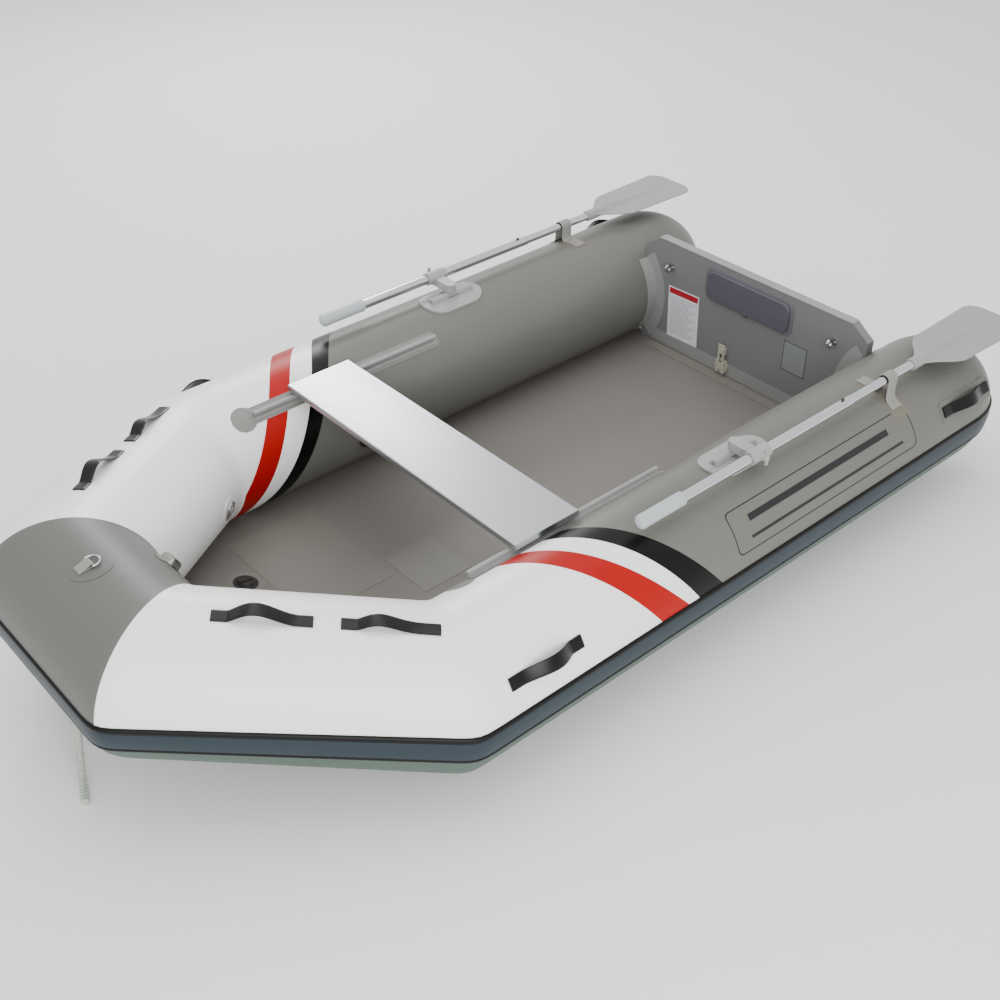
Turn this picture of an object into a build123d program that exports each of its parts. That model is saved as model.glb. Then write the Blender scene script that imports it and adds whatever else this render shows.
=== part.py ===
"""Inflatable dinghy with an air floor, a plank seat, a board transom and two stowed oars.

Frame: +X to the bow, +Y to port, +Z up. The origin is under the middle of the boat, on the ground.
"""
import os
from math import atan2, cos, degrees, hypot, pi, radians, sin, sqrt, tan

from build123d import *

os.makedirs("parts", exist_ok=True)

# ---------------------------------------------------------------- driving dimensions, millimetres
LENGTH = 2446.0          # stern cone to bow strake
BEAM = 1380.0            # strake to strake
TUBE_R = 170.0           # buoyancy tube, outside
SKIN = 1.2               # coated fabric wall of the tube
DOME = 200.0             # length of the rounded tube end
BOW_RUN = 456.0          # kink to nose axis, along X
NOSE_HALF = 168.0        # half length of the nose tube's axis
BOW_RISE = 88.0          # how far the nose axis stands above the side tubes' axis
STRAKE_T = 5.0           # rubbing strake, thickness
STRAKE_LOW, STRAKE_HIGH = -47.0, 24.0    # its edges, from the tube axis
FLOOR_T = 58.0           # air floor, thickness
FLOOR_SKIN = 1.0         # its fabric wall
FLOOR_DROP = 35.0        # how far the floor's underside hangs below the tubes
TRANSOM_IN = 301.0       # stern end of the tubes to the transom's inner face
TRANSOM_T = 26.0         # board thickness
TRANSOM_TOP = 194.0      # top edge above the tube axis
TRANSOM_TOP_HALF = 344.0
SHOULDER_HALF, SHOULDER_Z = 396.0, 158.0
SEAT_FRONT = 264.0       # kink back to the seat's front edge
SEAT_W, SEAT_HALF, SEAT_T = 186.0, 422.0, 16.0
SEAT_TOP = 169.5         # seat top above the tube axis
RAIL_START, RAIL_LENGTH = 150.0, 565.0   # kink back to the rail's front end, and its length
RAIL_ANGLE = 128.0       # where the rail sits round the tube, 0 outboard and 90 on top
OAR_SHAFT_R, OAR_WALL = 12.5, 1.4
OAR_OUT = 66.0           # oar axis outboard of the oarlock's middle
OAR_UP = 207.0           # oar axis above the tube axis
OAR_LENGTH = 1343.0
OARLOCK_X = 855.0        # kink back to the oarlock
OARLOCK_IN = 8.0         # oarlock's middle, inboard of the tube's top line
ROPE_D = 16.0
TOUCH = 0.1              # seam between pieces glued to each other
CLEAR = 0.3              # seat of a soft piece on its neighbour

# ---------------------------------------------------------------- places worked out from them
HALF_Y = BEAM / 2 - STRAKE_T - TOUCH - TUBE_R
AXIS_Z = TUBE_R + FLOOR_DROP
NOSE_X = LENGTH / 2 - STRAKE_T - TOUCH - TUBE_R
KINK_X = NOSE_X - BOW_RUN
STERN_X = -LENGTH / 2
DOME_X = STERN_X + DOME
KINK = Vector(KINK_X, HALF_Y, AXIS_Z)
NOSE = Vector(NOSE_X, NOSE_HALF, AXIS_Z + BOW_RISE)
BOW_DIR = (NOSE - KINK).normalized()
BOW_UP = (Vector(0, 0, 1) - BOW_DIR * BOW_DIR.Z).normalized()
BOW_OUT = BOW_UP.cross(BOW_DIR)
BOW_LEN = (NOSE - KINK).length
SLOPE = BOW_RISE / BOW_RUN
KINK_CUT = Plane(origin=KINK, z_dir=Vector(1, 0, 0) + BOW_DIR)
NOSE_CUT = Plane(origin=NOSE, z_dir=BOW_DIR + Vector(0, -1, 0))
TRANSOM_X = STERN_X + TRANSOM_IN
SIDES = ((1, "port"), (-1, "starboard"))
PAST = 300.0             # how far raw tubes run past a mitre before it is cut


def save(part, name):
    part.label = name
    export_step(part, f"parts/{name}.step")


def save_group(parts, name):
    save(Compound(children=[Part() + p for p in parts]), name)


def mirrored(part):
    return mirror(part, about=Plane.XZ)


def on_side(part, side):
    return part if side > 0 else mirrored(part)


# ---------------------------------------------------------------- tube surfaces, port side
def aft_plane(x, angle, lift=0.0):
    """Plane on the side tube: local x along the tube, z out of the skin, angle 0 outboard, 90 on top."""
    out = Vector(0, cos(radians(angle)), sin(radians(angle)))
    return Plane(origin=Vector(x, HALF_Y, AXIS_Z) + out * (TUBE_R + lift), x_dir=(1, 0, 0), z_dir=out)


def bow_plane(run, angle, lift=0.0):
    """The same on the bow tube, run millimetres forward of the kink."""
    out = BOW_OUT * cos(radians(angle)) + BOW_UP * sin(radians(angle))
    return Plane(origin=KINK + BOW_DIR * run + out * (TUBE_R + lift), x_dir=BOW_DIR, z_dir=out)


def nose_plane(y, angle, lift=0.0):
    """The same on the nose tube, angle 0 forward and 90 on top; local x runs to port."""
    out = Vector(cos(radians(angle)), 0, sin(radians(angle)))
    return Plane(origin=Vector(NOSE_X, y, NOSE.Z) + out * (TUBE_R + lift), x_dir=(0, 1, 0), z_dir=out)


def bullet(radius, dome):
    """Side tube to port as a solid: round, domed at the stern, running past the kink."""
    start = Vector(DOME_X, HALF_Y, AXIS_Z)
    reach = KINK_X - DOME_X + PAST
    with BuildPart() as shape:
        with BuildSketch(Plane(origin=start, x_dir=(1, 0, 0), z_dir=(0, -1, 0))):
            with BuildLine():
                EllipticalCenterArc((0, 0), dome, radius, start_angle=90, arc_size=90)
                Polyline((-dome, 0), (reach, 0), (reach, radius), (0, radius))
            make_face()
        revolve(axis=Axis(start, (1, 0, 0)))
    return shape.part


def patch(plane, length, width, low, high, corner, axis_at, axis_dir):
    """Piece of fabric that follows the round tube, from low to high above its skin."""
    with BuildPart() as piece:
        with BuildSketch(plane):
            RectangleRounded(length, width, corner)
        extrude(amount=2 * TUBE_R / 5, both=True)
        with BuildSketch(Plane(origin=axis_at, z_dir=axis_dir)):
            Circle(TUBE_R + high)
            Circle(TUBE_R + low, mode=Mode.SUBTRACT)
        extrude(amount=length, both=True, mode=Mode.INTERSECT)
    return piece.part


def aft_patch(x, angle, length, width, low=TOUCH, high=1.2, corner=12.0):
    return patch(aft_plane(x, angle), length, width, low, high, corner,
                 Vector(x, HALF_Y, AXIS_Z), Vector(1, 0, 0))


def bow_patch(run, angle, length, width, low=TOUCH, high=1.2, corner=12.0):
    return patch(bow_plane(run, angle), length, width, low, high, corner, KINK + BOW_DIR * run, BOW_DIR)


def nose_patch(y, angle, length, width, low=TOUCH, high=1.2, corner=12.0):
    return patch(nose_plane(y, angle), length, width, low, high, corner,
                 Vector(NOSE_X, y, NOSE.Z), Vector(0, 1, 0))


# ---------------------------------------------------------------- buoyancy tube: five glued panels
for side, name in SIDES:
    with BuildPart() as aft_tube:
        add(bullet(TUBE_R, DOME))
        add(bullet(TUBE_R - SKIN, DOME - SKIN), mode=Mode.SUBTRACT)
        split(bisect_by=KINK_CUT, keep=Keep.BOTTOM)
    save(on_side(aft_tube.part, side), f"aft_tube_{name}")

    with BuildPart() as bow_tube:
        with BuildSketch(Plane(origin=KINK - BOW_DIR * PAST, z_dir=BOW_DIR)):
            Circle(TUBE_R)
            Circle(TUBE_R - SKIN, mode=Mode.SUBTRACT)
        extrude(amount=BOW_LEN + 2 * PAST)
        split(bisect_by=KINK_CUT, keep=Keep.TOP)
        split(bisect_by=NOSE_CUT, keep=Keep.BOTTOM)
    save(on_side(bow_tube.part, side), f"bow_tube_{name}")

NOSE_CUT_STARBOARD = Plane(origin=(NOSE.X, -NOSE.Y, NOSE.Z), z_dir=(BOW_DIR.X, -BOW_DIR.Y + 1, BOW_DIR.Z))
with BuildPart() as nose_tube:
    with BuildSketch(Plane(origin=(NOSE_X, 0, NOSE.Z), z_dir=(0, 1, 0))):
        Circle(TUBE_R)
        Circle(TUBE_R - SKIN, mode=Mode.SUBTRACT)
    extrude(amount=NOSE_HALF + PAST, both=True)
    split(bisect_by=NOSE_CUT, keep=Keep.TOP)
    split(bisect_by=NOSE_CUT_STARBOARD, keep=Keep.TOP)
save(nose_tube.part, "nose_tube")

# baffles that part the tube into three air chambers
BAFFLE_BACK = 40.0
with BuildPart() as side_baffle:
    with BuildSketch(Plane(origin=(KINK_X - BAFFLE_BACK - TUBE_R, HALF_Y, AXIS_Z), z_dir=(1, 0, 0))):
        Circle(TUBE_R - SKIN - TOUCH)
    extrude(amount=SKIN)
save_group([side_baffle.part, mirrored(side_baffle.part)], "chamber_baffles")

# ---------------------------------------------------------------- rubbing strake
STRAKE_IN = TUBE_R + TOUCH
STRAKE_OUT = STRAKE_IN + STRAKE_T
STRAKE_MID, STRAKE_H = (STRAKE_LOW + STRAKE_HIGH) / 2, STRAKE_HIGH - STRAKE_LOW
STRAKE_END = 45.0        # stern end of the tube to the end of the strake


def strake_section():
    Circle(STRAKE_OUT)
    Circle(STRAKE_IN, mode=Mode.SUBTRACT)
    with Locations((TUBE_R, STRAKE_MID)):
        Rectangle(TUBE_R, STRAKE_H, mode=Mode.INTERSECT)


with BuildPart() as strake_aft:
    add(bullet(STRAKE_OUT, DOME + STRAKE_T))
    add(bullet(STRAKE_IN, DOME + TOUCH), mode=Mode.SUBTRACT)
    split(bisect_by=KINK_CUT, keep=Keep.BOTTOM)
    with Locations((STERN_X + STRAKE_END + LENGTH / 2, HALF_Y + TUBE_R, AXIS_Z + STRAKE_MID)):
        Box(LENGTH, 2 * TUBE_R, STRAKE_H, mode=Mode.INTERSECT)
with BuildPart() as strake_bow:
    with BuildSketch(Plane(origin=KINK - BOW_DIR * PAST, x_dir=BOW_OUT, z_dir=BOW_DIR)):
        strake_section()
    extrude(amount=BOW_LEN + 2 * PAST)
    split(bisect_by=KINK_CUT, keep=Keep.TOP)
    split(bisect_by=NOSE_CUT, keep=Keep.BOTTOM)
with BuildPart() as strake_nose:
    with BuildSketch(Plane(origin=(NOSE_X, 0, NOSE.Z), x_dir=(1, 0, 0), z_dir=(0, -1, 0))):
        strake_section()
    extrude(amount=NOSE_HALF + PAST, both=True)
    split(bisect_by=NOSE_CUT, keep=Keep.TOP)
    split(bisect_by=NOSE_CUT_STARBOARD, keep=Keep.TOP)
save_group([strake_aft.part, mirrored(strake_aft.part), strake_bow.part, mirrored(strake_bow.part),
            strake_nose.part], "rub_strake")

# ---------------------------------------------------------------- air floor
PITCH_COS = sqrt(1 - BOW_DIR.Z ** 2)
FLOOR_GAP = AXIS_Z - FLOOR_T              # tube axis down to the floor's top face
FLOOR_LIP_T = FLOOR_DROP - 5.0            # the floor's lower, wider part, tucked under the tubes
LIP_IN = 45.0                             # tube axis in to the lip's edge


def line_inset(aft, bow, nose):
    """Plan corners of the port half, each line set in from the tube's axis by its own distance."""
    flat = hypot(BOW_DIR.X, BOW_DIR.Y)
    run, drop = BOW_DIR.X / flat, BOW_DIR.Y / flat
    y_aft = HALF_Y - aft
    x_nose = NOSE_X - nose
    start = Vector(KINK_X + bow * drop, HALF_Y - bow * run)
    kink_x = start.X + (y_aft - start.Y) * run / drop
    nose_y = start.Y + (x_nose - start.X) * drop / run
    return [(kink_x, y_aft), (x_nose, nose_y)]


def floor_slab(thickness, insets, shrink):
    """Floor of one thickness, flat to the kink and then rising with the bow, made smaller by shrink."""
    corners = line_inset(*[inset + shrink for inset in insets])
    aft_x = TRANSOM_X - TRANSOM_T + shrink
    low, high = shrink, thickness - shrink
    tip_x = NOSE_X + TUBE_R
    rise = SLOPE * (tip_x - KINK_X)
    with BuildPart() as slab:
        with BuildSketch():
            with BuildLine():
                half = [(aft_x, corners[0][1])] + corners
                Polyline(*half, *[(x, -y) for x, y in reversed(half)], close=True)
            make_face()
        extrude(amount=2 * TUBE_R)
        with BuildSketch(Plane.XZ):
            with BuildLine():
                Polyline((aft_x, low), (KINK_X, low), (tip_x, low + rise), (tip_x, high + rise),
                         (KINK_X, high), (aft_x, high), close=True)
            make_face()
        extrude(amount=BEAM, both=True, mode=Mode.INTERSECT)
    return slab.part


def chord(gap):
    return sqrt(TUBE_R ** 2 - gap ** 2)


nose_b = FLOOR_GAP * SLOPE
nose_a = 1 + SLOPE ** 2
nose_inset = (sqrt(nose_b ** 2 - nose_a * (FLOOR_GAP ** 2 - TUBE_R ** 2)) - nose_b) / nose_a
TOP_INSETS = (chord(FLOOR_GAP) + CLEAR, chord(FLOOR_GAP * PITCH_COS) + CLEAR, nose_inset + CLEAR)
LIP_INSETS = (LIP_IN, LIP_IN, LIP_IN)
with BuildPart() as air_floor:
    add(floor_slab(FLOOR_T, TOP_INSETS, 0))
    add(floor_slab(FLOOR_LIP_T, LIP_INSETS, 0))
    add(floor_slab(FLOOR_T, TOP_INSETS, FLOOR_SKIN), mode=Mode.SUBTRACT)
    add(floor_slab(FLOOR_LIP_T, LIP_INSETS, FLOOR_SKIN), mode=Mode.SUBTRACT)
save(air_floor.part, "air_floor")

# floor valve, set in the rising part of the floor near the bow
FLOOR_VALVE_AT = (55.0, -178.0)           # forward of the kink, and to port of the middle line
VALVE_R = 22.0
floor_angle = degrees(atan2(BOW_RISE, BOW_RUN))
floor_valve_top = Plane(origin=(KINK_X + FLOOR_VALVE_AT[0], FLOOR_VALVE_AT[1],
                                FLOOR_T + SLOPE * FLOOR_VALVE_AT[0] + TOUCH),
                        x_dir=(cos(radians(floor_angle)), 0, sin(radians(floor_angle))),
                        z_dir=(-sin(radians(floor_angle)), 0, cos(radians(floor_angle))))


def valve(plane, radius):
    """Valve rim with its sunken throat, and the cap that turns in it."""
    with BuildPart() as body:
        with BuildSketch(plane):
            Circle(radius + 8)
        extrude(amount=3)
        with BuildSketch(plane):
            Circle(radius)
        extrude(amount=6)
        with BuildSketch(plane.offset(3)):
            Circle(radius - 3)
        extrude(amount=3, mode=Mode.SUBTRACT)
    with BuildPart() as cap:
        with BuildSketch(plane.offset(3 + CLEAR)):
            Circle(radius - 3 - CLEAR)
        extrude(amount=4)
        with BuildSketch(plane.offset(7 + CLEAR)):
            Rectangle(1.5 * radius, 5)
        extrude(amount=3)
    return body.part, cap.part


floor_valve_body, floor_valve_cap = valve(floor_valve_top, VALVE_R)
save(floor_valve_body, "floor_valve_body")
save(floor_valve_cap, "floor_valve_cap")

# one inflation valve on the inner side of each side tube
TUBE_VALVE_BACK, TUBE_VALVE_ANGLE = 440.0, -170.0
for side, name in SIDES:
    body, cap = valve(aft_plane(KINK_X - TUBE_VALVE_BACK, TUBE_VALVE_ANGLE, CLEAR), VALVE_R - 2)
    save(on_side(body, side), f"tube_valve_body_{name}")
    save(on_side(cap, side), f"tube_valve_cap_{name}")

# ---------------------------------------------------------------- transom
TRANSOM_LOW = FLOOR_T + CLEAR
EYE_Y, EYE_Z, EYE_R = 291.0, 120.0, 4.0
DRAIN_Y, DRAIN_UP, DRAIN_R = -70.0, 34.0, 17.0
transom_face = Plane(origin=(TRANSOM_X, 0, 0), x_dir=(0, 1, 0), z_dir=(1, 0, 0))
transom_back = transom_face.offset(-TRANSOM_T)
with BuildPart() as transom_board:
    with BuildSketch(transom_face):
        with BuildLine():
            half = [(TRANSOM_TOP_HALF, AXIS_Z + TRANSOM_TOP), (SHOULDER_HALF, AXIS_Z + SHOULDER_Z),
                    (SHOULDER_HALF, TRANSOM_LOW)]
            Polyline(*half, *[(-y, z) for y, z in reversed(half)], close=True)
        make_face()
        with Locations((HALF_Y, AXIS_Z), (-HALF_Y, AXIS_Z)):
            Circle(TUBE_R + CLEAR, mode=Mode.SUBTRACT)
        with Locations((EYE_Y, AXIS_Z + EYE_Z), (-EYE_Y, AXIS_Z + EYE_Z)):
            Circle(EYE_R + CLEAR, mode=Mode.SUBTRACT)
        with Locations((DRAIN_Y, TRANSOM_LOW + DRAIN_UP)):
            Circle(DRAIN_R + CLEAR, mode=Mode.SUBTRACT)
    extrude(amount=-TRANSOM_T)
save(transom_board.part, "transom_board")

TRIM_T, TRIM_LIP = 3.0, 1.5
with BuildPart() as transom_top_trim:
    with BuildSketch(Plane.XY.offset(AXIS_Z + TRANSOM_TOP + CLEAR)):
        with Locations((TRANSOM_X - TRANSOM_T / 2, 0)):
            RectangleRounded(TRANSOM_T + 2 * TRIM_LIP, 2 * TRANSOM_TOP_HALF, 3)
    extrude(amount=TRIM_T)
save(transom_top_trim.part, "transom_top_trim")

# fabric flanges that join the board to the tubes and the floor
FLANGE_T, FLANGE_LEG, FLANGE_FOOT = 1.5, 36.0, 8.0
FLANGE_FROM, FLANGE_TO = 137.0, 221.0
flange_in = TUBE_R + 2 * CLEAR
with BuildPart() as side_flange:
    with BuildSketch(Plane(origin=(TRANSOM_X + CLEAR, HALF_Y, AXIS_Z), x_dir=(1, 0, 0), z_dir=(0, -1, 0))):
        with BuildLine():
            Polyline((0, flange_in), (FLANGE_LEG, flange_in), (FLANGE_LEG, flange_in + FLANGE_T),
                     (FLANGE_T, flange_in + FLANGE_T), (FLANGE_T, flange_in + FLANGE_LEG),
                     (0, flange_in + FLANGE_LEG), close=True)
        make_face()
    revolve(axis=Axis((TRANSOM_X, HALF_Y, AXIS_Z), (1, 0, 0)), revolution_arc=FLANGE_TO - FLANGE_FROM)
turn = FLANGE_FROM - 90
inner_flange = side_flange.part.rotate(Axis((TRANSOM_X, HALF_Y, AXIS_Z), (1, 0, 0)), turn)
outer_flange = mirror(inner_flange, about=Plane.YZ.offset(TRANSOM_X - TRANSOM_T / 2))
with BuildPart() as floor_flange:
    with BuildSketch(Plane(origin=(TRANSOM_X + CLEAR, 0, FLOOR_T + CLEAR), x_dir=(1, 0, 0), z_dir=(0, -1, 0))):
        with BuildLine():
            Polyline((0, 0), (FLANGE_LEG, 0), (FLANGE_LEG, FLANGE_T), (FLANGE_T, FLANGE_T),
                     (FLANGE_T, FLANGE_FOOT), (0, FLANGE_FOOT), close=True)
        make_face()
    extrude(amount=SHOULDER_HALF - FLANGE_LEG - 12, both=True)
save_group([inner_flange, mirrored(inner_flange), outer_flange, mirrored(outer_flange)], "side_flanges")
save(floor_flange.part, "floor_flange")

# pads that spread a motor clamp's load, inside and outside
PAD_HALF, PAD_LOW, PAD_HIGH, PAD_T = 152.0, 77.0, 176.0, 12.0
PLATE_HALF, PLATE_LOW, PLATE_T = 150.0, 40.0, 4.0
with BuildPart() as motor_pad:
    with BuildSketch(transom_face.offset(CLEAR)):
        with Locations((0, AXIS_Z + (PAD_LOW + PAD_HIGH) / 2)):
            RectangleRounded(2 * PAD_HALF, PAD_HIGH - PAD_LOW, 22)
        with Locations((0, AXIS_Z + PAD_LOW)):
            SlotOverall(70, 26, mode=Mode.SUBTRACT)
    extrude(amount=PAD_T)
save(motor_pad.part, "motor_pad_inner")
with BuildPart() as motor_plate:
    with BuildSketch(transom_back.offset(-CLEAR)):
        with Locations((0, AXIS_Z + (PLATE_LOW + PAD_HIGH) / 2)):
            RectangleRounded(2 * PLATE_HALF, PAD_HIGH - PLATE_LOW, 14)
    extrude(amount=-PLATE_T)
save(motor_plate.part, "motor_plate_outer")

# eye bolts for the davit lines, each with its washer and nut behind the board
EYE_FLANGE_R, EYE_RING_R, EYE_WIRE_R = 13.0, 10.0, 3.2
with BuildPart() as eye_bolt:
    eye_face = transom_face.offset(CLEAR)
    with BuildSketch(eye_face):
        with Locations((EYE_Y, AXIS_Z + EYE_Z)):
            Circle(EYE_FLANGE_R)
    extrude(amount=3)
    with BuildSketch(eye_face):
        with Locations((EYE_Y, AXIS_Z + EYE_Z)):
            Circle(EYE_R)
    extrude(amount=5)
    with BuildSketch(eye_face):
        with Locations((EYE_Y, AXIS_Z + EYE_Z)):
            Circle(EYE_R)
    extrude(amount=-(TRANSOM_T + 14))
    with BuildSketch(Plane(origin=(TRANSOM_X + EYE_RING_R + 5, EYE_Y, AXIS_Z + EYE_Z), z_dir=(0, 1, 0))):
        Circle(EYE_RING_R + EYE_WIRE_R)
        Circle(EYE_RING_R - EYE_WIRE_R, mode=Mode.SUBTRACT)
    extrude(amount=EYE_WIRE_R, both=True)
save_group([eye_bolt.part, mirrored(eye_bolt.part)], "transom_eye_bolts")
with BuildPart() as eye_nut:
    with BuildSketch(transom_back.offset(-CLEAR)):
        with Locations((EYE_Y, AXIS_Z + EYE_Z)):
            Circle(EYE_FLANGE_R)
            Circle(EYE_R + CLEAR, mode=Mode.SUBTRACT)
    extrude(amount=-2)
    with BuildSketch(transom_back.offset(-CLEAR - 2)):
        with Locations((EYE_Y, AXIS_Z + EYE_Z)):
            RegularPolygon(7.5, 6)
            Circle(EYE_R + CLEAR, mode=Mode.SUBTRACT)
    extrude(amount=-6.5)
save_group([eye_nut.part, mirrored(eye_nut.part)], "transom_eye_nuts")

# drain: a tube through the board with a rim inside, and a slotted shutter that slides up on its guide
LATCH_W, LATCH_H, LATCH_T = 34.0, 92.0, 4.0
LATCH_LOW = TRANSOM_LOW + 12             # the shutter's lower edge, shut
RIM_T = 6.0
LATCH_X = TRANSOM_X + CLEAR + RIM_T + CLEAR
SLOT_W, SLOT_L, SLOT_TOP = 9.0, 44.0, 77.0
GUIDE_H, GUIDE_FIT, GUIDE_HEAD = 8.8, 0.08, 2.5
GUIDE_Z = LATCH_LOW + SLOT_TOP - GUIDE_H / 2 - 0.2
with BuildPart() as drain_body:
    with BuildSketch(transom_face.offset(CLEAR)):
        with Locations((DRAIN_Y, TRANSOM_LOW + DRAIN_UP)):
            Circle(DRAIN_R + 7)
    extrude(amount=RIM_T)
    with BuildSketch(transom_face.offset(CLEAR)):
        with Locations((DRAIN_Y, TRANSOM_LOW + DRAIN_UP)):
            Circle(DRAIN_R)
    extrude(amount=-(TRANSOM_T + RIM_T))
    with BuildSketch(transom_face.offset(CLEAR + RIM_T)):
        with Locations((DRAIN_Y, TRANSOM_LOW + DRAIN_UP)):
            Circle(DRAIN_R - 3)
    extrude(amount=-(TRANSOM_T + 2 * RIM_T), mode=Mode.SUBTRACT)
save(drain_body.part, "drain_body")
with BuildPart() as drain_latch:
    with BuildSketch(Plane(origin=(LATCH_X, DRAIN_Y, LATCH_LOW), x_dir=(0, 1, 0), z_dir=(1, 0, 0))):
        with Locations((0, LATCH_H / 2)):
            RectangleRounded(LATCH_W, LATCH_H, 7)
        with Locations((0, SLOT_TOP - SLOT_L / 2)):
            Rectangle(SLOT_W, SLOT_L, mode=Mode.SUBTRACT)
    extrude(amount=LATCH_T)
save(drain_latch.part, "drain_latch")
guide_face = Plane(origin=(TRANSOM_X + CLEAR, DRAIN_Y, GUIDE_Z), x_dir=(0, 1, 0), z_dir=(1, 0, 0))
with BuildPart() as drain_guide:
    with BuildSketch(guide_face):
        RectangleRounded(LATCH_W - 6, 24, 3)
    extrude(amount=RIM_T)
    with BuildSketch(guide_face.offset(RIM_T)):
        Rectangle(SLOT_W - 2 * GUIDE_FIT, GUIDE_H)
    extrude(amount=CLEAR + LATCH_T + GUIDE_FIT)
    with BuildSketch(guide_face.offset(RIM_T + CLEAR + LATCH_T + GUIDE_FIT)):
        RectangleRounded(2 * SLOT_W, 2 * GUIDE_H, 2)
    extrude(amount=GUIDE_HEAD)
save(drain_guide.part, "drain_guide")
with BuildPart() as drain_flap:
    with BuildSketch(transom_back.offset(-6 - CLEAR - CLEAR)):
        with Locations((DRAIN_Y, TRANSOM_LOW + DRAIN_UP)):
            Circle(DRAIN_R)
    extrude(amount=-3)
save(drain_flap.part, "drain_flap")

# blank labels on the inner face
LABEL_T = 0.5
with BuildPart() as warning_label:
    with BuildSketch(transom_face.offset(TOUCH)):
        with Locations(Location((-234, AXIS_Z - 20, 0), (0, 0, 2))):
            Rectangle(118, 164)
    extrude(amount=LABEL_T)
with BuildPart() as plate_label:
    with BuildSketch(transom_face.offset(TOUCH)):
        with Locations((176, AXIS_Z + 14)):
            Rectangle(84, 96)
    extrude(amount=LABEL_T)
save_group([warning_label.part, plate_label.part], "transom_labels")

# ---------------------------------------------------------------- seat on its rails
BEAD_R, BEAD_UP, STEM_W, RAIL_BASE_W = 6.0, 12.5, 8.0, 30.0
HOOK_GAP, HOOK_WALL = 0.4, 2.6
RAIL_PATCH_D = 66.0
rail_x = KINK_X - RAIL_START
rail_dir = Vector(0, cos(radians(RAIL_ANGLE)), sin(radians(RAIL_ANGLE)))
bead = Vector(0, HALF_Y, AXIS_Z) + rail_dir * (TUBE_R + BEAD_UP)
rail_section = Plane(origin=(rail_x, HALF_Y, AXIS_Z), x_dir=rail_dir, z_dir=(-1, 0, 0))
with BuildPart() as seat_rail:
    with BuildSketch(rail_section):
        with Locations((TUBE_R + BEAD_UP, 0)):
            Circle(BEAD_R)
        with Locations((TUBE_R + 1.4 + BEAD_UP / 2, 0)):
            Rectangle(BEAD_UP, STEM_W)
        with Locations((TUBE_R + 2.2, 0)):
            Rectangle(1.6, RAIL_BASE_W)
    extrude(amount=RAIL_LENGTH)
save_group([seat_rail.part, mirrored(seat_rail.part)], "seat_rails")
rail_mid = rail_x - RAIL_LENGTH / 2
rail_strip = aft_patch(rail_mid, RAIL_ANGLE, RAIL_LENGTH + 20, 44)
rail_round = aft_patch(rail_x + RAIL_PATCH_D / 2 - 8, RAIL_ANGLE, RAIL_PATCH_D, RAIL_PATCH_D,
                       corner=RAIL_PATCH_D / 2 - 0.5)
rail_patch = Part() + rail_strip + rail_round
save_group([rail_patch, mirrored(rail_patch)], "seat_rail_patches")

seat_top = AXIS_Z + SEAT_TOP
seat_x = KINK_X - SEAT_FRONT - SEAT_W / 2
SEAT_WALL, SEAT_RIB = 2.0, 1.6
with BuildPart() as seat_plank:
    with BuildSketch(Plane(origin=(seat_x, 0, seat_top - SEAT_T / 2), x_dir=(1, 0, 0), z_dir=(0, -1, 0))):
        RectangleRounded(SEAT_W, SEAT_T, 3)
    extrude(amount=SEAT_HALF, both=True)
    cell = (SEAT_W - 2 * SEAT_WALL - 4 * SEAT_RIB) / 5
    with BuildSketch(Plane(origin=(seat_x, 0, seat_top - SEAT_T / 2), x_dir=(1, 0, 0), z_dir=(0, -1, 0))):
        with GridLocations(cell + SEAT_RIB, 0, 5, 1):
            RectangleRounded(cell, SEAT_T - 2 * SEAT_WALL, 1.5)
    extrude(amount=SEAT_HALF - 3, both=True, mode=Mode.SUBTRACT)
save(seat_plank.part, "seat_plank")

HOOK_L = 150.0
hook_r = BEAD_R + HOOK_GAP
with BuildPart() as seat_hook:
    with BuildSketch(Plane(origin=(seat_x, 0, 0), x_dir=(0, 1, 0), z_dir=(1, 0, 0))):
        with Locations((bead.Y, bead.Z)):
            Circle(hook_r + HOOK_WALL)
        foot = seat_top - SEAT_T - bead.Z
        with Locations((bead.Y, bead.Z + foot / 2)):
            Rectangle(2 * (hook_r + HOOK_WALL), foot)
        with Locations((bead.Y, bead.Z)):
            Circle(hook_r, mode=Mode.SUBTRACT)
        mouth = bead - rail_dir * hook_r
        with Locations(Location((mouth.Y, mouth.Z, 0), (0, 0, RAIL_ANGLE))):
            Rectangle(2 * hook_r, STEM_W + 4 * HOOK_GAP, mode=Mode.SUBTRACT)
    extrude(amount=HOOK_L / 2, both=True)
save_group([seat_hook.part, mirrored(seat_hook.part)], "seat_hooks")

# ---------------------------------------------------------------- carrying handles
HANDLE_L, HANDLE_W, HANDLE_T, HANDLE_RISE = 192.0, 28.0, 5.0, 24.0
HANDLE_FOOT = 34.0
HANDLE_ANGLE, LOW_HANDLE_ANGLE = 83.0, 31.0
BOW_HANDLES = (130.0, 374.0)             # forward of the kink
LOW_HANDLES = (134.0, 1577.0)            # back from the kink


def handle(plane):
    """Moulded strap: two flat feet and a raised grip between them."""
    foot = HANDLE_L / 2 - HANDLE_FOOT
    shoulder = foot - 26
    up, top = HANDLE_RISE, HANDLE_RISE + HANDLE_T
    with BuildPart() as strap:
        with BuildSketch(Plane(origin=plane.origin, x_dir=plane.x_dir, z_dir=plane.x_dir.cross(plane.z_dir))):
            with BuildLine():
                under = [(HANDLE_L / 2, 0), (foot, 0), (shoulder, up)]
                over = [(HANDLE_L / 2, HANDLE_T), (foot + 3, HANDLE_T), (shoulder + 3, top)]
                left = [(-x, z) for x, z in reversed(under)]
                Polyline(*under, *left, *[(-x, z) for x, z in over], *reversed(over), close=True)
            make_face()
        extrude(amount=HANDLE_W / 2, both=True)
    return strap.part


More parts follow.
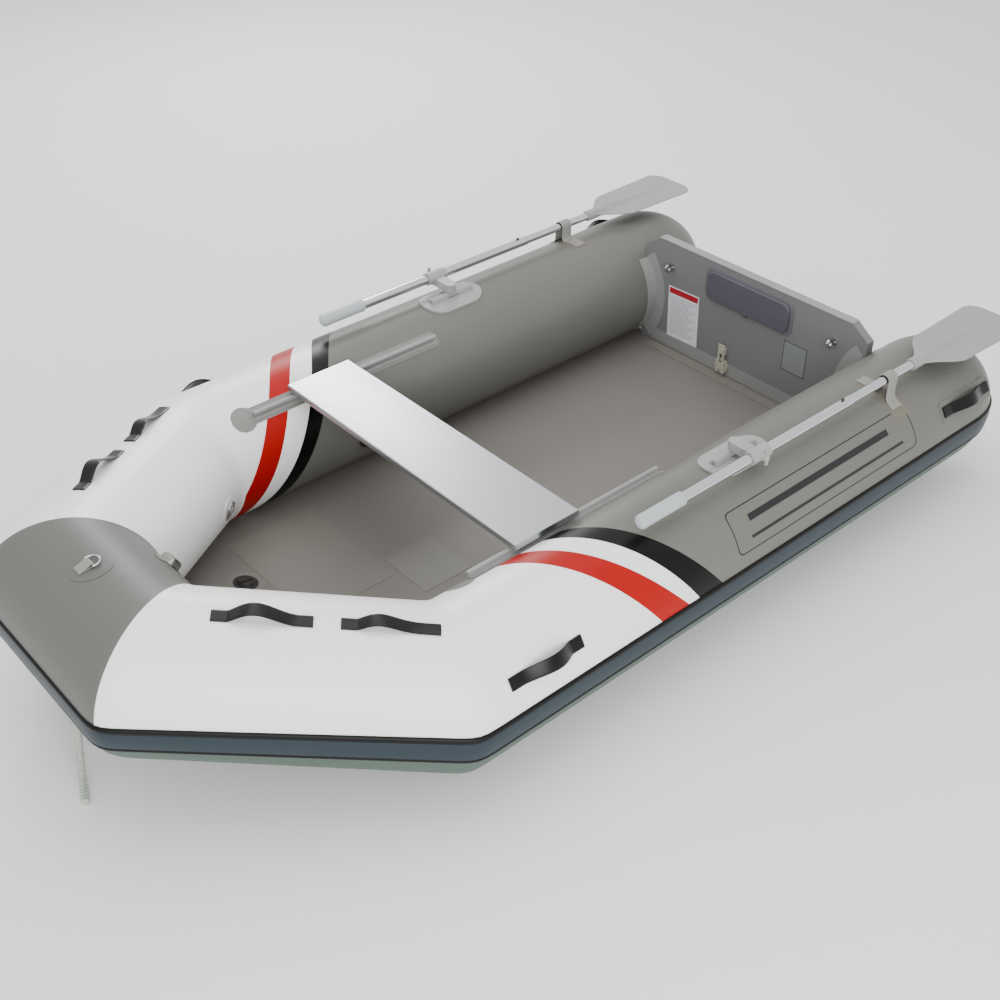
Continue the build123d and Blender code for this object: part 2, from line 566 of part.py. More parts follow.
handles, handle_patches = [], []
for run in BOW_HANDLES:
    handles.append(handle(bow_plane(run, HANDLE_ANGLE, 1.2 + CLEAR)))
    handle_patches.append(bow_patch(run, HANDLE_ANGLE, HANDLE_L + 26, HANDLE_W + 34))
for back in LOW_HANDLES:
    handles.append(handle(aft_plane(KINK_X - back, LOW_HANDLE_ANGLE, 1.2 + CLEAR)))
    handle_patches.append(aft_patch(KINK_X - back, LOW_HANDLE_ANGLE, HANDLE_L + 26, HANDLE_W + 34))
save_group(handles + [mirrored(part) for part in handles], "carrying_handles")
save_group(handle_patches + [mirrored(part) for part in handle_patches], "handle_patches")

# ---------------------------------------------------------------- rings on webbing tabs
RING_R, RING_WIRE, RING_FIT = 17.0, 2.5, 0.08
TAB_W, TAB_T = 26.0, 2.0
RING_PATCH_D = 92.0


def ring_tab(plane, length):
    """Webbing tab on its patch, with a rolled eye at one end for the ring."""
    with BuildPart() as tab:
        with BuildSketch(plane.offset(1.2 + CLEAR)):
            with Locations((0, -length / 2)):
                Rectangle(TAB_W, length)
        extrude(amount=TAB_T)
        eye = RING_WIRE + RING_FIT
        hinge = plane.offset(1.2 + CLEAR + TAB_T + eye).origin
        with BuildSketch(Plane(origin=hinge, x_dir=plane.z_dir, z_dir=plane.x_dir)):
            Circle(eye + TAB_T)
        extrude(amount=TAB_W / 2, both=True)
        with BuildSketch(Plane(origin=hinge, x_dir=plane.z_dir, z_dir=plane.x_dir)):
            Circle(eye)
        extrude(amount=TAB_W / 2, both=True, mode=Mode.SUBTRACT)
    return tab.part


def d_ring(plane, leaned=0.0):
    """D ring: its straight bar lies in the tab's eye, its bow lies on the patch or leans off it."""
    hinge = plane.offset(1.2 + CLEAR + TAB_T + RING_WIRE + RING_FIT)
    bar, bow = hinge.x_dir, hinge.y_dir * cos(radians(leaned)) + hinge.z_dir * sin(radians(leaned))
    sheet = Plane(origin=hinge.origin, x_dir=bar, z_dir=bar.cross(bow))
    with BuildPart() as ring:
        with BuildLine(sheet) as path:
            Line((-RING_R, 0), (RING_R, 0))
            Line((RING_R, 0), (RING_R, 4))
            ThreePointArc((RING_R, 4), (0, 4 + RING_R), (-RING_R, 4))
            Line((-RING_R, 4), (-RING_R, 0))
        with BuildSketch(Plane(origin=sheet.origin, z_dir=bar)):
            Circle(RING_WIRE)
        sweep(path=path.line, transition=Transition.RIGHT)
    return ring.part


NOSE_RING_ANGLE, TOW_RING_ANGLE = 86.0, -48.0
SIDE_RING_RUN, SIDE_RING_ANGLE = 135.0, 190.0
top_ring_plane = nose_plane(0, NOSE_RING_ANGLE)
tow_face = nose_plane(0, TOW_RING_ANGLE)
tow_ring_plane = Plane(origin=tow_face.origin, x_dir=(0, -1, 0), z_dir=tow_face.z_dir)
tow_eye = tow_ring_plane.offset(1.2 + CLEAR + TAB_T + RING_WIRE + RING_FIT).origin
side_ring_plane = bow_plane(SIDE_RING_RUN, SIDE_RING_ANGLE)
ring_patches = [nose_patch(0, angle, RING_PATCH_D, RING_PATCH_D, corner=RING_PATCH_D / 2 - 0.5)
                for angle in (NOSE_RING_ANGLE, TOW_RING_ANGLE)]
side_patch = bow_patch(SIDE_RING_RUN, SIDE_RING_ANGLE, 62, 62, corner=30)
save_group(ring_patches + [side_patch, mirrored(side_patch)], "ring_patches")
side_tab = ring_tab(side_ring_plane, 24)
save_group([ring_tab(top_ring_plane, 30), ring_tab(tow_ring_plane, 30), side_tab, mirrored(side_tab)],
           "ring_tabs")
save(d_ring(top_ring_plane), "bow_ring")
save(d_ring(tow_ring_plane, -TOW_RING_ANGLE), "towing_ring")
side_ring = d_ring(side_ring_plane)
save_group([side_ring, mirrored(side_ring)], "side_rings")

# webbing loop on the inner side of the nose, sewn to a strip that follows the tube
LOOP_W, LOOP_T, LOOP_RUN, LOOP_RISE = 28.0, 2.5, 76.0, 18.0
loop_plane = nose_plane(0, 150, CLEAR)
with BuildPart() as inner_loop:
    add(nose_patch(0, 150, LOOP_W, LOOP_RUN, low=CLEAR, high=CLEAR + LOOP_T, corner=2))
    with BuildSketch(Plane(origin=loop_plane.origin, x_dir=loop_plane.y_dir, z_dir=loop_plane.x_dir)):
        with BuildLine():
            over = [(18, 0.8), (15, LOOP_RISE)]
            under = [(15.5, 0.8), (12.5, LOOP_RISE - LOOP_T)]
            Polyline(*over, *[(-x, z) for x, z in reversed(over)], *[(-x, z) for x, z in under],
                     *reversed(under), close=True)
        make_face()
    extrude(amount=LOOP_W / 2, both=True)
save(inner_loop.part, "inner_webbing_loop")

# ---------------------------------------------------------------- painter rope
rope_top = tow_eye.Z - (4 + RING_R) - RING_WIRE - CLEAR
ROPE = [(tow_eye.X, 0, rope_top), (tow_eye.X + 2, 3, 104), (tow_eye.X + 10, 16, 70), (tow_eye.X + 24, 40, 40),
        (tow_eye.X + 40, 70, 18), (tow_eye.X + 53, 98, 8.7), (tow_eye.X + 64, 124, 8.4)]
points = [Vector(*point) for point in ROPE]
runs = [b - a for a, b in zip(points, points[1:])]
turns = [radians(a.get_angle(b)) for a, b in zip(runs, runs[1:])]
bends = [0.45 * min(a.length, b.length) / tan(turn / 2) for a, b, turn in zip(runs, runs[1:], turns)]
with BuildPart() as painter_rope:
    with BuildLine() as rope_line:
        FilletPolyline(*points, radius=bends)
    with BuildSketch(Plane(origin=points[0], z_dir=runs[0])):
        Circle(ROPE_D / 2)
    sweep()
rope_length = rope_line.wires()[0].length
print("rope points", [tuple(round(v, 1) for v in point) for point in points])
print("rope radii", [round(bend, 1) for bend in bends], "length", round(rope_length, 1))
print("rope volume against section times length", round(painter_rope.part.volume),
      round(pi * ROPE_D ** 2 / 4 * rope_length))
save(painter_rope.part, "painter_rope")

# ---------------------------------------------------------------- oars in their oarlocks
LOCK_X = KINK_X - OARLOCK_X
LOCK_Y = HALF_Y - OARLOCK_IN
PIN_Z = AXIS_Z + TUBE_R + 9.0            # dip axis, just above the tube's top line
HUMP_R, HUMP_FROM, HUMP_TO, PIN_R, PIN_GAP = 8.5, 19.0, 70.0, 4.0, 0.06
BASE_L, BASE_W, BASE_T = 190.0, 104.0, 5.0
OAR_Y, OAR_Z = LOCK_Y + OAR_OUT, AXIS_Z + OAR_UP
GRIP_END_X = LOCK_X + 383.0
GRIP_L, GRIP_R = 137.0, 16.5
JOINT_X = LOCK_X - 335.0                 # where the two halves of the shaft meet
BLADE_X = LOCK_X - 609.0                 # throat of the blade
BLADE_END_X = GRIP_END_X - OAR_LENGTH
BLADE_W, BLADE_T = 168.0, 5.0
COLLAR_R, COLLAR_HALF = OAR_SHAFT_R + 5.0, 30.0
STEM_R = 5.0
STRAP_X, STRAP_W, STRAP_T = LOCK_X - 486.0, 36.0, 2.5


def x_rod(radius, x_from, x_to, y, z):
    """Round bar along X."""
    with BuildPart() as rod:
        with BuildSketch(Plane(origin=(x_from, y, z), z_dir=(-1, 0, 0))):
            Circle(radius)
        extrude(amount=x_from - x_to)
    return rod.part


for side, name in SIDES:
    base_shell = patch(aft_plane(LOCK_X, 90).shift_origin((LOCK_X, LOCK_Y, AXIS_Z + TUBE_R)), BASE_L, BASE_W,
                       CLEAR, BASE_T, BASE_W / 2 - 1, Vector(LOCK_X, HALF_Y, AXIS_Z), Vector(1, 0, 0))
    with BuildPart() as oarlock_base:
        add(base_shell)
        for start in (HUMP_FROM, -HUMP_TO):
            with BuildSketch(Plane(origin=(LOCK_X + start, LOCK_Y, 0), x_dir=(0, 1, 0), z_dir=(1, 0, 0))):
                with Locations((0, PIN_Z)):
                    Circle(HUMP_R)
                with Locations((0, PIN_Z - 3)):
                    Rectangle(2 * HUMP_R + 6, 6)
                with Locations((0, PIN_Z)):
                    Circle(PIN_R + PIN_GAP, mode=Mode.SUBTRACT)
            extrude(amount=HUMP_TO - HUMP_FROM)
        add(x_rod(HUMP_R + CLEAR, LOCK_X + HUMP_FROM, LOCK_X - HUMP_FROM, LOCK_Y, PIN_Z), mode=Mode.SUBTRACT)
        add(x_rod(TUBE_R + CLEAR, LOCK_X + BASE_L, LOCK_X - BASE_L, HALF_Y, AXIS_Z), mode=Mode.SUBTRACT)
    save(on_side(oarlock_base.part, side), f"oarlock_base_{name}")

    with BuildPart() as oarlock_swivel:
        add(x_rod(PIN_R, LOCK_X + HUMP_TO - 4, LOCK_X - HUMP_TO + 4, LOCK_Y, PIN_Z))
        add(x_rod(HUMP_R, LOCK_X + HUMP_FROM - CLEAR, LOCK_X - HUMP_FROM + CLEAR, LOCK_Y, PIN_Z))
        with BuildSketch(Plane.XY.offset(PIN_Z)):
            with Locations((LOCK_X, LOCK_Y)):
                Circle(STEM_R)
        extrude(amount=OAR_Z - PIN_Z)
    save(on_side(oarlock_swivel.part, side), f"oarlock_swivel_{name}")

    arm_low = PIN_Z + HUMP_R + 1.2
    with BuildPart() as oarlock_collar:
        add(x_rod(COLLAR_R, LOCK_X + COLLAR_HALF, LOCK_X - COLLAR_HALF, OAR_Y, OAR_Z))
        with BuildSketch(Plane.XY.offset(arm_low)):
            with Locations((LOCK_X, LOCK_Y + OAR_OUT / 2)):
                Rectangle(30, OAR_OUT)
            with Locations((LOCK_X, LOCK_Y)):
                Circle(15)
        extrude(amount=OAR_Z - arm_low + 4)
        with BuildSketch(Plane(origin=(LOCK_X, OAR_Y, OAR_Z), z_dir=(0, 1, 0))):
            Circle(8.5)
        extrude(amount=COLLAR_R + 5)
        with BuildSketch(Plane.XY.offset(arm_low - 1)):
            with Locations((LOCK_X, LOCK_Y)):
                Circle(STEM_R + PIN_GAP)
        extrude(amount=OAR_Z - arm_low + 1 + CLEAR, mode=Mode.SUBTRACT)
        add(x_rod(OAR_SHAFT_R + PIN_GAP, LOCK_X + COLLAR_HALF + 1, LOCK_X - COLLAR_HALF - 1, OAR_Y, OAR_Z),
            mode=Mode.SUBTRACT)
    save(on_side(oarlock_collar.part, side), f"oarlock_collar_{name}")

    with BuildPart() as oarlock_knob:
        with BuildSketch(Plane(origin=(LOCK_X, OAR_Y + COLLAR_R + 5 + CLEAR, OAR_Z), z_dir=(0, 1, 0))):
            Circle(8)
            Rectangle(32, 7)
        extrude(amount=6)
    save(on_side(oarlock_knob.part, side), f"oarlock_knob_{name}")

    with BuildPart() as oar_grip:
        add(x_rod(GRIP_R, GRIP_END_X, GRIP_END_X - GRIP_L, OAR_Y, OAR_Z))
        fillet(oar_grip.edges().filter_by(GeomType.CIRCLE), 3)
        add(x_rod(OAR_SHAFT_R + PIN_GAP, GRIP_END_X - 12, GRIP_END_X - GRIP_L - 1, OAR_Y, OAR_Z), mode=Mode.SUBTRACT)
    save(on_side(oar_grip.part, side), f"oar_grip_{name}")

    inner_r = OAR_SHAFT_R - OAR_WALL
    with BuildPart() as upper_shaft:
        add(x_rod(OAR_SHAFT_R, GRIP_END_X - 12.5, JOINT_X, OAR_Y, OAR_Z))
        add(x_rod(inner_r, GRIP_END_X, JOINT_X - 1, OAR_Y, OAR_Z), mode=Mode.SUBTRACT)
        with BuildSketch(Plane.XY.offset(OAR_Z)):
            with Locations((JOINT_X + 30, OAR_Y)):
                Circle(4.2)
        extrude(amount=2 * OAR_SHAFT_R, mode=Mode.SUBTRACT)
    save(on_side(upper_shaft.part, side), f"oar_upper_shaft_{name}")

    lower_r = inner_r - 0.15
    with BuildPart() as lower_shaft:
        add(x_rod(lower_r, JOINT_X + 110, BLADE_X - 60, OAR_Y, OAR_Z))
        add(x_rod(lower_r - OAR_WALL, JOINT_X + 111, BLADE_X - 61, OAR_Y, OAR_Z), mode=Mode.SUBTRACT)
        with BuildSketch(Plane.XY.offset(OAR_Z)):
            with Locations((JOINT_X + 30, OAR_Y)):
                Circle(4.2)
        extrude(amount=2 * OAR_SHAFT_R, mode=Mode.SUBTRACT)
    save(on_side(lower_shaft.part, side), f"oar_lower_shaft_{name}")

    with BuildPart() as oar_button:
        with BuildSketch(Plane.XY.offset(OAR_Z + 2)):
            with Locations((JOINT_X + 30, OAR_Y)):
                Circle(4)
        extrude(amount=OAR_SHAFT_R + 2)
        with BuildSketch(Plane.XY.offset(OAR_Z)):
            with Locations((JOINT_X + 30, OAR_Y)):
                RectangleRounded(26, 8, 3)
        extrude(amount=3)
    save(on_side(oar_button.part, side), f"oar_button_{name}")

    with BuildPart() as oar_blade:
        add(x_rod(OAR_SHAFT_R + 3, BLADE_X + 30, BLADE_X - 70, OAR_Y, OAR_Z))
        with BuildSketch(Plane.XY.offset(OAR_Z - BLADE_T / 2)):
            with BuildLine():
                neck = 13.0
                tip = BLADE_X - BLADE_END_X
                edge = [(0, neck), (-90, BLADE_W / 2 - 6), (12 - tip, BLADE_W / 2), (-tip, BLADE_W / 2 - 26)]
                places = [(BLADE_X + x, OAR_Y + y) for x, y in edge]
                other = [(BLADE_X + x, OAR_Y - y) for x, y in reversed(edge)]
                Polyline(*places, *other, close=True)
            make_face()
        extrude(amount=BLADE_T)
        add(x_rod(lower_r + PIN_GAP, BLADE_X + 31, BLADE_X - 60.5, OAR_Y, OAR_Z), mode=Mode.SUBTRACT)
    save(on_side(oar_blade.part, side), f"oar_blade_{name}")

    # strap that holds the stowed oar: feet on the tube and a loop over the shaft
    loop_r = OAR_SHAFT_R + 1.0
    strap_face = Plane(origin=(STRAP_X, 0, 0), x_dir=(0, 1, 0), z_dir=(1, 0, 0))
    with BuildPart() as oar_strap:
        with BuildSketch(strap_face):
            with Locations((OAR_Y, OAR_Z)):
                Circle(loop_r + STRAP_T)
            with Locations((OAR_Y, OAR_Z - OAR_UP / 8)):
                Rectangle(2 * (loop_r + STRAP_T), OAR_UP / 4)
            with Locations((OAR_Y, OAR_Z)):
                Circle(loop_r, mode=Mode.SUBTRACT)
            with Locations((OAR_Y, OAR_Z - OAR_UP / 8)):
                Rectangle(2 * loop_r, OAR_UP / 4, mode=Mode.SUBTRACT)
            with Locations((HALF_Y, AXIS_Z)):
                Circle(TUBE_R + CLEAR + STRAP_T)
            with Locations((OAR_Y, AXIS_Z + TUBE_R)):
                Rectangle(150, 110, mode=Mode.INTERSECT)
            with Locations((HALF_Y, AXIS_Z)):
                Circle(TUBE_R + CLEAR, mode=Mode.SUBTRACT)
        extrude(amount=STRAP_W / 2, both=True)
    save(on_side(oar_strap.part, side), f"oar_strap_{name}")
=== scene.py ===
# %% [markdown]
# # An inflatable dinghy, piece by piece
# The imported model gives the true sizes, and this lesson dresses it. Hard parts keep their own meshes
# and get a finish. Blown-up fabric, straps and rope get new meshes that sit where the plain solids are.

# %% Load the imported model
from math import asin, cos, pi, radians, sin

import bmesh
import bpy
import numpy as np
from mathutils import Matrix, Vector


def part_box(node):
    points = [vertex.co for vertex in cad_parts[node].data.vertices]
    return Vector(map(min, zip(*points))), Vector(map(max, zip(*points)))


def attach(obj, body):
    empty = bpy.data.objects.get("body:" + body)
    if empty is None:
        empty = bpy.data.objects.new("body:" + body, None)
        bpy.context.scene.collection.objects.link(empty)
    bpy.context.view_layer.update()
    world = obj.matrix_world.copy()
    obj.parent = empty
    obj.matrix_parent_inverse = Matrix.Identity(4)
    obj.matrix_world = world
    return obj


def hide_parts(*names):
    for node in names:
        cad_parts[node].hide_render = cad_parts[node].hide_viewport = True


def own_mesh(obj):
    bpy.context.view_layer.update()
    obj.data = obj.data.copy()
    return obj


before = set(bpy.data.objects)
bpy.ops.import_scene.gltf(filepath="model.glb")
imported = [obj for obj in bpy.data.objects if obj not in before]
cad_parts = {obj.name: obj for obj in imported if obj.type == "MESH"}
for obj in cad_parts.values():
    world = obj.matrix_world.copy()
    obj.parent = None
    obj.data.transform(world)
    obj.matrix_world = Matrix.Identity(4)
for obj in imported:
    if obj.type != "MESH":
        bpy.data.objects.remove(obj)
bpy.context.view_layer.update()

# %% [markdown]
# ## Camera
# The view is from above the port bow with a slightly long lens. A camera looks down its own -Z, so its
# matrix is built from three directions: right, up, and back along the line of sight.

# %% Camera
CAMERA_AT = Vector((1.764, 2.032, 2.106))
CAMERA_TURN, CAMERA_DIP, CAMERA_ROLL = -2.2851, -0.6421, -0.0066
LENS_MM = 47.76

sight = Vector((cos(CAMERA_TURN) * cos(CAMERA_DIP), sin(CAMERA_TURN) * cos(CAMERA_DIP), sin(CAMERA_DIP)))
level = sight.cross(Vector((0, 0, 1))).normalized()
over = level.cross(sight)
right = level * cos(CAMERA_ROLL) + over * sin(CAMERA_ROLL)
up = over * cos(CAMERA_ROLL) - level * sin(CAMERA_ROLL)
camera = bpy.data.objects.new("camera", bpy.data.cameras.new("camera"))
bpy.context.scene.collection.objects.link(camera)
camera.matrix_world = Matrix.Translation(CAMERA_AT) @ Matrix((right, up, -sight)).transposed().to_4x4()
camera.data.lens = LENS_MM
bpy.context.scene.camera = camera

# %% [markdown]
# ## Sizes that everything shares
# The tubes are round, so the boxes of the plain nodes give their radius and axis. Only the run of the bow
# tubes, the nose's half width and the length of the stern domes are given as numbers. Arrays of points are
# easier to bend than single vertices, so all shapes below are numpy grids.

# %% Shared sizes, in metres
MM = 0.001
side_low, side_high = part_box("aft_tube_port")
nose_low, nose_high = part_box("nose_tube")
TUBE_R = (side_high.z - side_low.z) / 2
AXIS_Z = (side_high.z + side_low.z) / 2
HALF_Y = side_high.y - TUBE_R
STERN_X = side_low.x
NOSE_X = nose_high.x - TUBE_R
NOSE_Z = (nose_high.z + nose_low.z) / 2
BOW_RUN, NOSE_HALF, DOME = 456 * MM, 168 * MM, 200 * MM
KINK_X = NOSE_X - BOW_RUN
DOME_X = STERN_X + DOME
TRANSOM_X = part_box("transom_board")[1].x
SIDES = ((1, "port"), (-1, "starboard"))

kink = np.array([KINK_X, HALF_Y, AXIS_Z])
nose_corner = np.array([NOSE_X, NOSE_HALF, NOSE_Z])
bow_dir = (nose_corner - kink) / np.linalg.norm(nose_corner - kink)
bow_up = np.array([0, 0, 1]) - bow_dir * bow_dir[2]
bow_up /= np.linalg.norm(bow_up)
bow_out = np.cross(bow_up, bow_dir)
bow_length = float(np.linalg.norm(nose_corner - kink))
print("tube radius", round(TUBE_R, 4), "kink at", kink.round(4), "bow tube", round(bow_length, 4))


# %% [markdown]
# ## Places on the tubes
# A patch or a strap is drawn flat and then wrapped. Each place function takes u along the tube, v round
# it and h out of it, and gives the point in space. Angle 0 is outboard (or forward on the nose) and 90
# is on top.

# %% Place functions
def stacked(*parts):
    """Several arrays of coordinates as one array of points."""
    return np.stack(np.broadcast_arrays(*parts), -1)


def on_side_tube(x, angle, side):
    def place(u, v, h):
        turn = radians(angle) + np.asarray(v) / TUBE_R
        out = TUBE_R + np.asarray(h)
        y, z = HALF_Y + out * np.cos(turn), AXIS_Z + out * np.sin(turn)
        return stacked(x + np.asarray(u), side * y, z)
    return place


def on_bow_tube(run, angle, side):
    def place(u, v, h):
        turn = radians(angle) + np.asarray(v)[..., None] / TUBE_R
        out = (TUBE_R + np.asarray(h))[..., None]
        point = kink + bow_dir * (run + np.asarray(u))[..., None]
        point = point + out * (bow_out * np.cos(turn) + bow_up * np.sin(turn))
        return point * np.array([1, side, 1])
    return place


def on_nose_tube(y, angle, side=1):
    def place(u, v, h):
        turn = radians(angle) + np.asarray(v) / TUBE_R
        out = TUBE_R + np.asarray(h)
        x, z = NOSE_X + out * np.cos(turn), NOSE_Z + out * np.sin(turn)
        return stacked(x, side * (y + np.asarray(u)), z)
    return place


# %% [markdown]
# ## Turning grids into pieces
# A grid of points becomes a mesh by joining each point to its neighbours. Sheets get a top, a bottom
# and walls, because real fabric has an edge that catches light. Every piece rides on a body of the model
# and may stand for plain nodes, which are then hidden.

# %% Mesh helpers
def grid_faces(rows, columns, ring=False, first=0):
    """Quads of a rows by columns grid; ring joins the last column to the first."""
    faces = []
    for i in range(rows - 1):
        for j in range(columns if ring else columns - 1):
            k = (j + 1) % columns
            faces.append((first + i * columns + j, first + i * columns + k,
                          first + (i + 1) * columns + k, first + (i + 1) * columns + j))
    return faces


def end_caps(rows, columns):
    """The two end faces of a ring grid."""
    return [tuple(range(columns)), tuple((rows - 1) * columns + k for k in reversed(range(columns)))]


def make_piece(name, points, faces, finishes, body="hull", nodes=(), slot=None, finish_of_face=None,
               crease=38):
    mesh = bpy.data.meshes.new(name)
    mesh.from_pydata(np.asarray(points, float).reshape(-1, 3).tolist(), [], faces)
    for finish in finishes:
        mesh.materials.append(finish)
    if finish_of_face is not None:
        mesh.polygons.foreach_set("material_index", finish_of_face)
    shape = bmesh.new()
    shape.from_mesh(mesh)
    bmesh.ops.remove_doubles(shape, verts=shape.verts, dist=1e-6)
    bmesh.ops.recalc_face_normals(shape, faces=shape.faces)
    shape.to_mesh(mesh)
    shape.free()
    mesh.polygons.foreach_set("use_smooth", [True] * len(mesh.polygons))
    mesh.set_sharp_from_angle(angle=radians(crease))
    made = bpy.data.objects.new(name, mesh)
    bpy.context.scene.collection.objects.link(made)
    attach(made, body)
    if nodes:
        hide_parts(*nodes)
    return made


def thick_sheet(top, bottom):
    """Closed mesh between two grids of the same size."""
    rows, columns = top.shape[:2]
    count = rows * columns
    faces = grid_faces(rows, columns)
    faces += [face[::-1] for face in grid_faces(rows, columns, first=count)]
    edge = [j for j in range(columns)] + [i * columns + columns - 1 for i in range(1, rows)]
    edge += [(rows - 1) * columns + j for j in range(columns - 2, -1, -1)]
    edge += [i * columns for i in range(rows - 2, 0, -1)]
    for a, b in zip(edge, edge[1:] + edge[:1]):
        faces.append((a, count + a, count + b, b))
    return np.concatenate([top.reshape(-1, 3), bottom.reshape(-1, 3)]), faces


def raised(place, u, v, low, high):
    """Sheet over the grids u and v, wrapped by a place function, from height low to high."""
    return thick_sheet(place(u, v, np.full(u.shape, high)), place(u, v, np.full(u.shape, low)))


def disc_sheet(outline, place, low, high, rings=9):
    """Patch of any round outline, wrapped by a place function, from height low to high."""
    outline = np.asarray(outline, float)
    shares = np.linspace(0.02, 1, rings)
    flat = shares[:, None, None] * outline[None]
    count = rings * len(outline)
    top = place(flat[..., 0], flat[..., 1], np.full(flat.shape[:2], high))
    base = place(flat[..., 0], flat[..., 1], np.full(flat.shape[:2], low))
    faces = grid_faces(rings, len(outline), ring=True)
    faces += [face[::-1] for face in grid_faces(rings, len(outline), ring=True, first=count)]
    last = (rings - 1) * len(outline)
    for a in range(len(outline)):
        b = (a + 1) % len(outline)
        faces.append((last + a, last + b, count + last + b, count + last + a))
    faces.append(tuple(range(len(outline))))
    faces.append(tuple(count + k for k in reversed(range(len(outline)))))
    return np.concatenate([top.reshape(-1, 3), base.reshape(-1, 3)]), faces


def joined(parts):
    """Several (points, faces) as one."""
    points, faces, first = [], [], 0
    for more_points, more_faces in parts:
        points.append(np.asarray(more_points, float).reshape(-1, 3))
        faces += [tuple(first + k for k in face) for face in more_faces]
        first += len(points[-1])
    return np.concatenate(points), faces


def rounded_outline(length, width, corner, steps=8):
    """Points round a rectangle with round corners, centred on zero."""
    points = []
    for cx, cy, start in ((1, 1, 0), (-1, 1, 90), (-1, -1, 180), (1, -1, 270)):
        for k in range(steps + 1):
            turn = radians(start + 90 * k / steps)
            points.append((cx * (length / 2 - corner) + corner * cos(turn),
                           cy * (width / 2 - corner) + corner * sin(turn)))
    dense = []
    for (ax, ay), (bx, by) in zip(points, points[1:] + points[:1]):
        cuts = max(1, int(((bx - ax) ** 2 + (by - ay) ** 2) ** 0.5 / 0.012))
        dense += [(ax + (bx - ax) * k / cuts, ay + (by - ay) * k / cuts) for k in range(cuts)]
    return dense


def round_outline(radius, steps=48):
    return [(radius * cos(2 * pi * k / steps), radius * sin(2 * pi * k / steps)) for k in range(steps)]


# %% [markdown]
# ## Colour and nodes
# Colours are written as sRGB hex, as a paint chart gives them, and one function turns them to the linear
# values a shader works in. One more function adds a node, sets it and links it, so each finish below
# reads as a short list.

# %% Colour and node helpers
def linear(hex_colour):
    parts = [int(hex_colour[k:k + 2], 16) / 255 for k in (1, 3, 5)]
    return tuple(c / 12.92 if c <= 0.04045 else ((c + 0.055) / 1.055) ** 2.4 for c in parts) + (1.0,)


def add_node(tree, kind, settings, sockets):
    """Adds one node, sets its options, and gives each socket a value or a link; returns its outputs."""
    made = tree.nodes.new(kind)
    for name, value in settings.items():
        setattr(made, name, value)
    for name, value in sockets.items():
        if isinstance(value, bpy.types.NodeSocket):
            tree.links.new(value, made.inputs[name])
        else:
            made.inputs[name].default_value = value
    return made.outputs


def new_finish(name, **sockets):
    """A material with its shader's plain sockets set; returns it, its tree and the shader."""
    made = bpy.data.materials.new(name)
    made.use_nodes = True
    shader = made.node_tree.nodes["Principled BSDF"]
    for socket, value in sockets.items():
        shader.inputs[socket.replace("_", " ")].default_value = value
    return made, made.node_tree, shader


def two_tone(name, colour, shade, roughness, spread, patch_mm, grain_mm, relief_mm, stretch=(1, 1, 1),
             **sockets):
    """Colour that drifts between two tones, with roughness that drifts along and a fine relief."""
    made, tree, shader = new_finish(name, **sockets)
    where = add_node(tree, "ShaderNodeTexCoord", {}, {})["Object"]
    where = add_node(tree, "ShaderNodeMapping", {}, {"Vector": where, "Scale": stretch})["Vector"]
    drift = add_node(tree, "ShaderNodeTexNoise", {},
                     {"Vector": where, "Scale": 1 / (patch_mm * MM), "Detail": 4.0, "Roughness": 0.55})["Fac"]
    grain = add_node(tree, "ShaderNodeTexNoise", {},
                     {"Vector": where, "Scale": 1 / (grain_mm * MM), "Detail": 3.0, "Roughness": 0.6})["Fac"]
    mixed = add_node(tree, "ShaderNodeMix", {"data_type": "RGBA"},
                     {0: drift, 6: linear(colour), 7: linear(shade)})[2]
    gloss = add_node(tree, "ShaderNodeMapRange", {},
                     {"Value": drift, "To Min": roughness - spread, "To Max": roughness + spread})["Result"]
    relief = add_node(tree, "ShaderNodeBump", {},
                      {"Height": grain, "Strength": 0.5, "Distance": relief_mm * MM})["Normal"]
    tree.links.new(mixed, shader.inputs["Base Color"])
    tree.links.new(gloss, shader.inputs["Roughness"])
    tree.links.new(relief, shader.inputs["Normal"])
    return made


# %% [markdown]
# ## Finish: coated fabric
# The tubes are polyester cloth with PVC pressed on both faces. The coat is satin, index about 1.5, and
# the cloth's threads only whisper through it. Threads half a millimetre apart would not show at this
# distance, so the relief is drawn 5 mm wide and very shallow. The tone drifts over a hand's width, as
# tight fabric does.

# %% Coated fabrics
def coated_fabric(name, colour, shade, roughness=0.4, shine=0.5):
    return two_tone(name, colour, shade, roughness, 0.05, 260, 5, 0.12, IOR=1.5, Specular_IOR_Level=shine)


pvc_grey = coated_fabric("pvc_coated_fabric_grey", "#686761", "#61605A", 0.42, 0.4)
pvc_nose_grey = coated_fabric("pvc_coated_fabric_nose_grey", "#62625E", "#5B5B57", 0.44, 0.35)
pvc_white = coated_fabric("pvc_coated_fabric_white", "#F6F6F4", "#F0F0ED", 0.36)
pvc_red = coated_fabric("pvc_coated_fabric_red", "#A80300", "#9A0200", 0.4, 0.2)
pvc_black = coated_fabric("pvc_coated_fabric_black", "#010101", "#030303", 0.36, 0.22)
pvc_floor = two_tone("pvc_coated_floor_fabric", "#74706A", "#6A6661", 0.5, 0.07, 420, 4, 0.2, IOR=1.53)
pvc_patch = coated_fabric("pvc_coated_fabric_patch_grey", "#7E7D79", "#767571", 0.44)
pvc_strap_patch = coated_fabric("pvc_coated_fabric_strap_patch", "#6E695C", "#676256", 0.46)
pvc_print = coated_fabric("printed_ink_on_pvc", "#060607", "#0A0A0B", 0.42)

# %% [markdown]
# ## Finish: rubber, moulded plastic, metal, paint
# Rubber extrusions are nearly matt. Moulded ABS and polypropylene keep a faint orange peel from the
# mould. Brushed aluminium has hair lines along the plank, so its noise is stretched a hundredfold in one
# direction. Drawn tube is polished, and only slow streaks break its reflections.

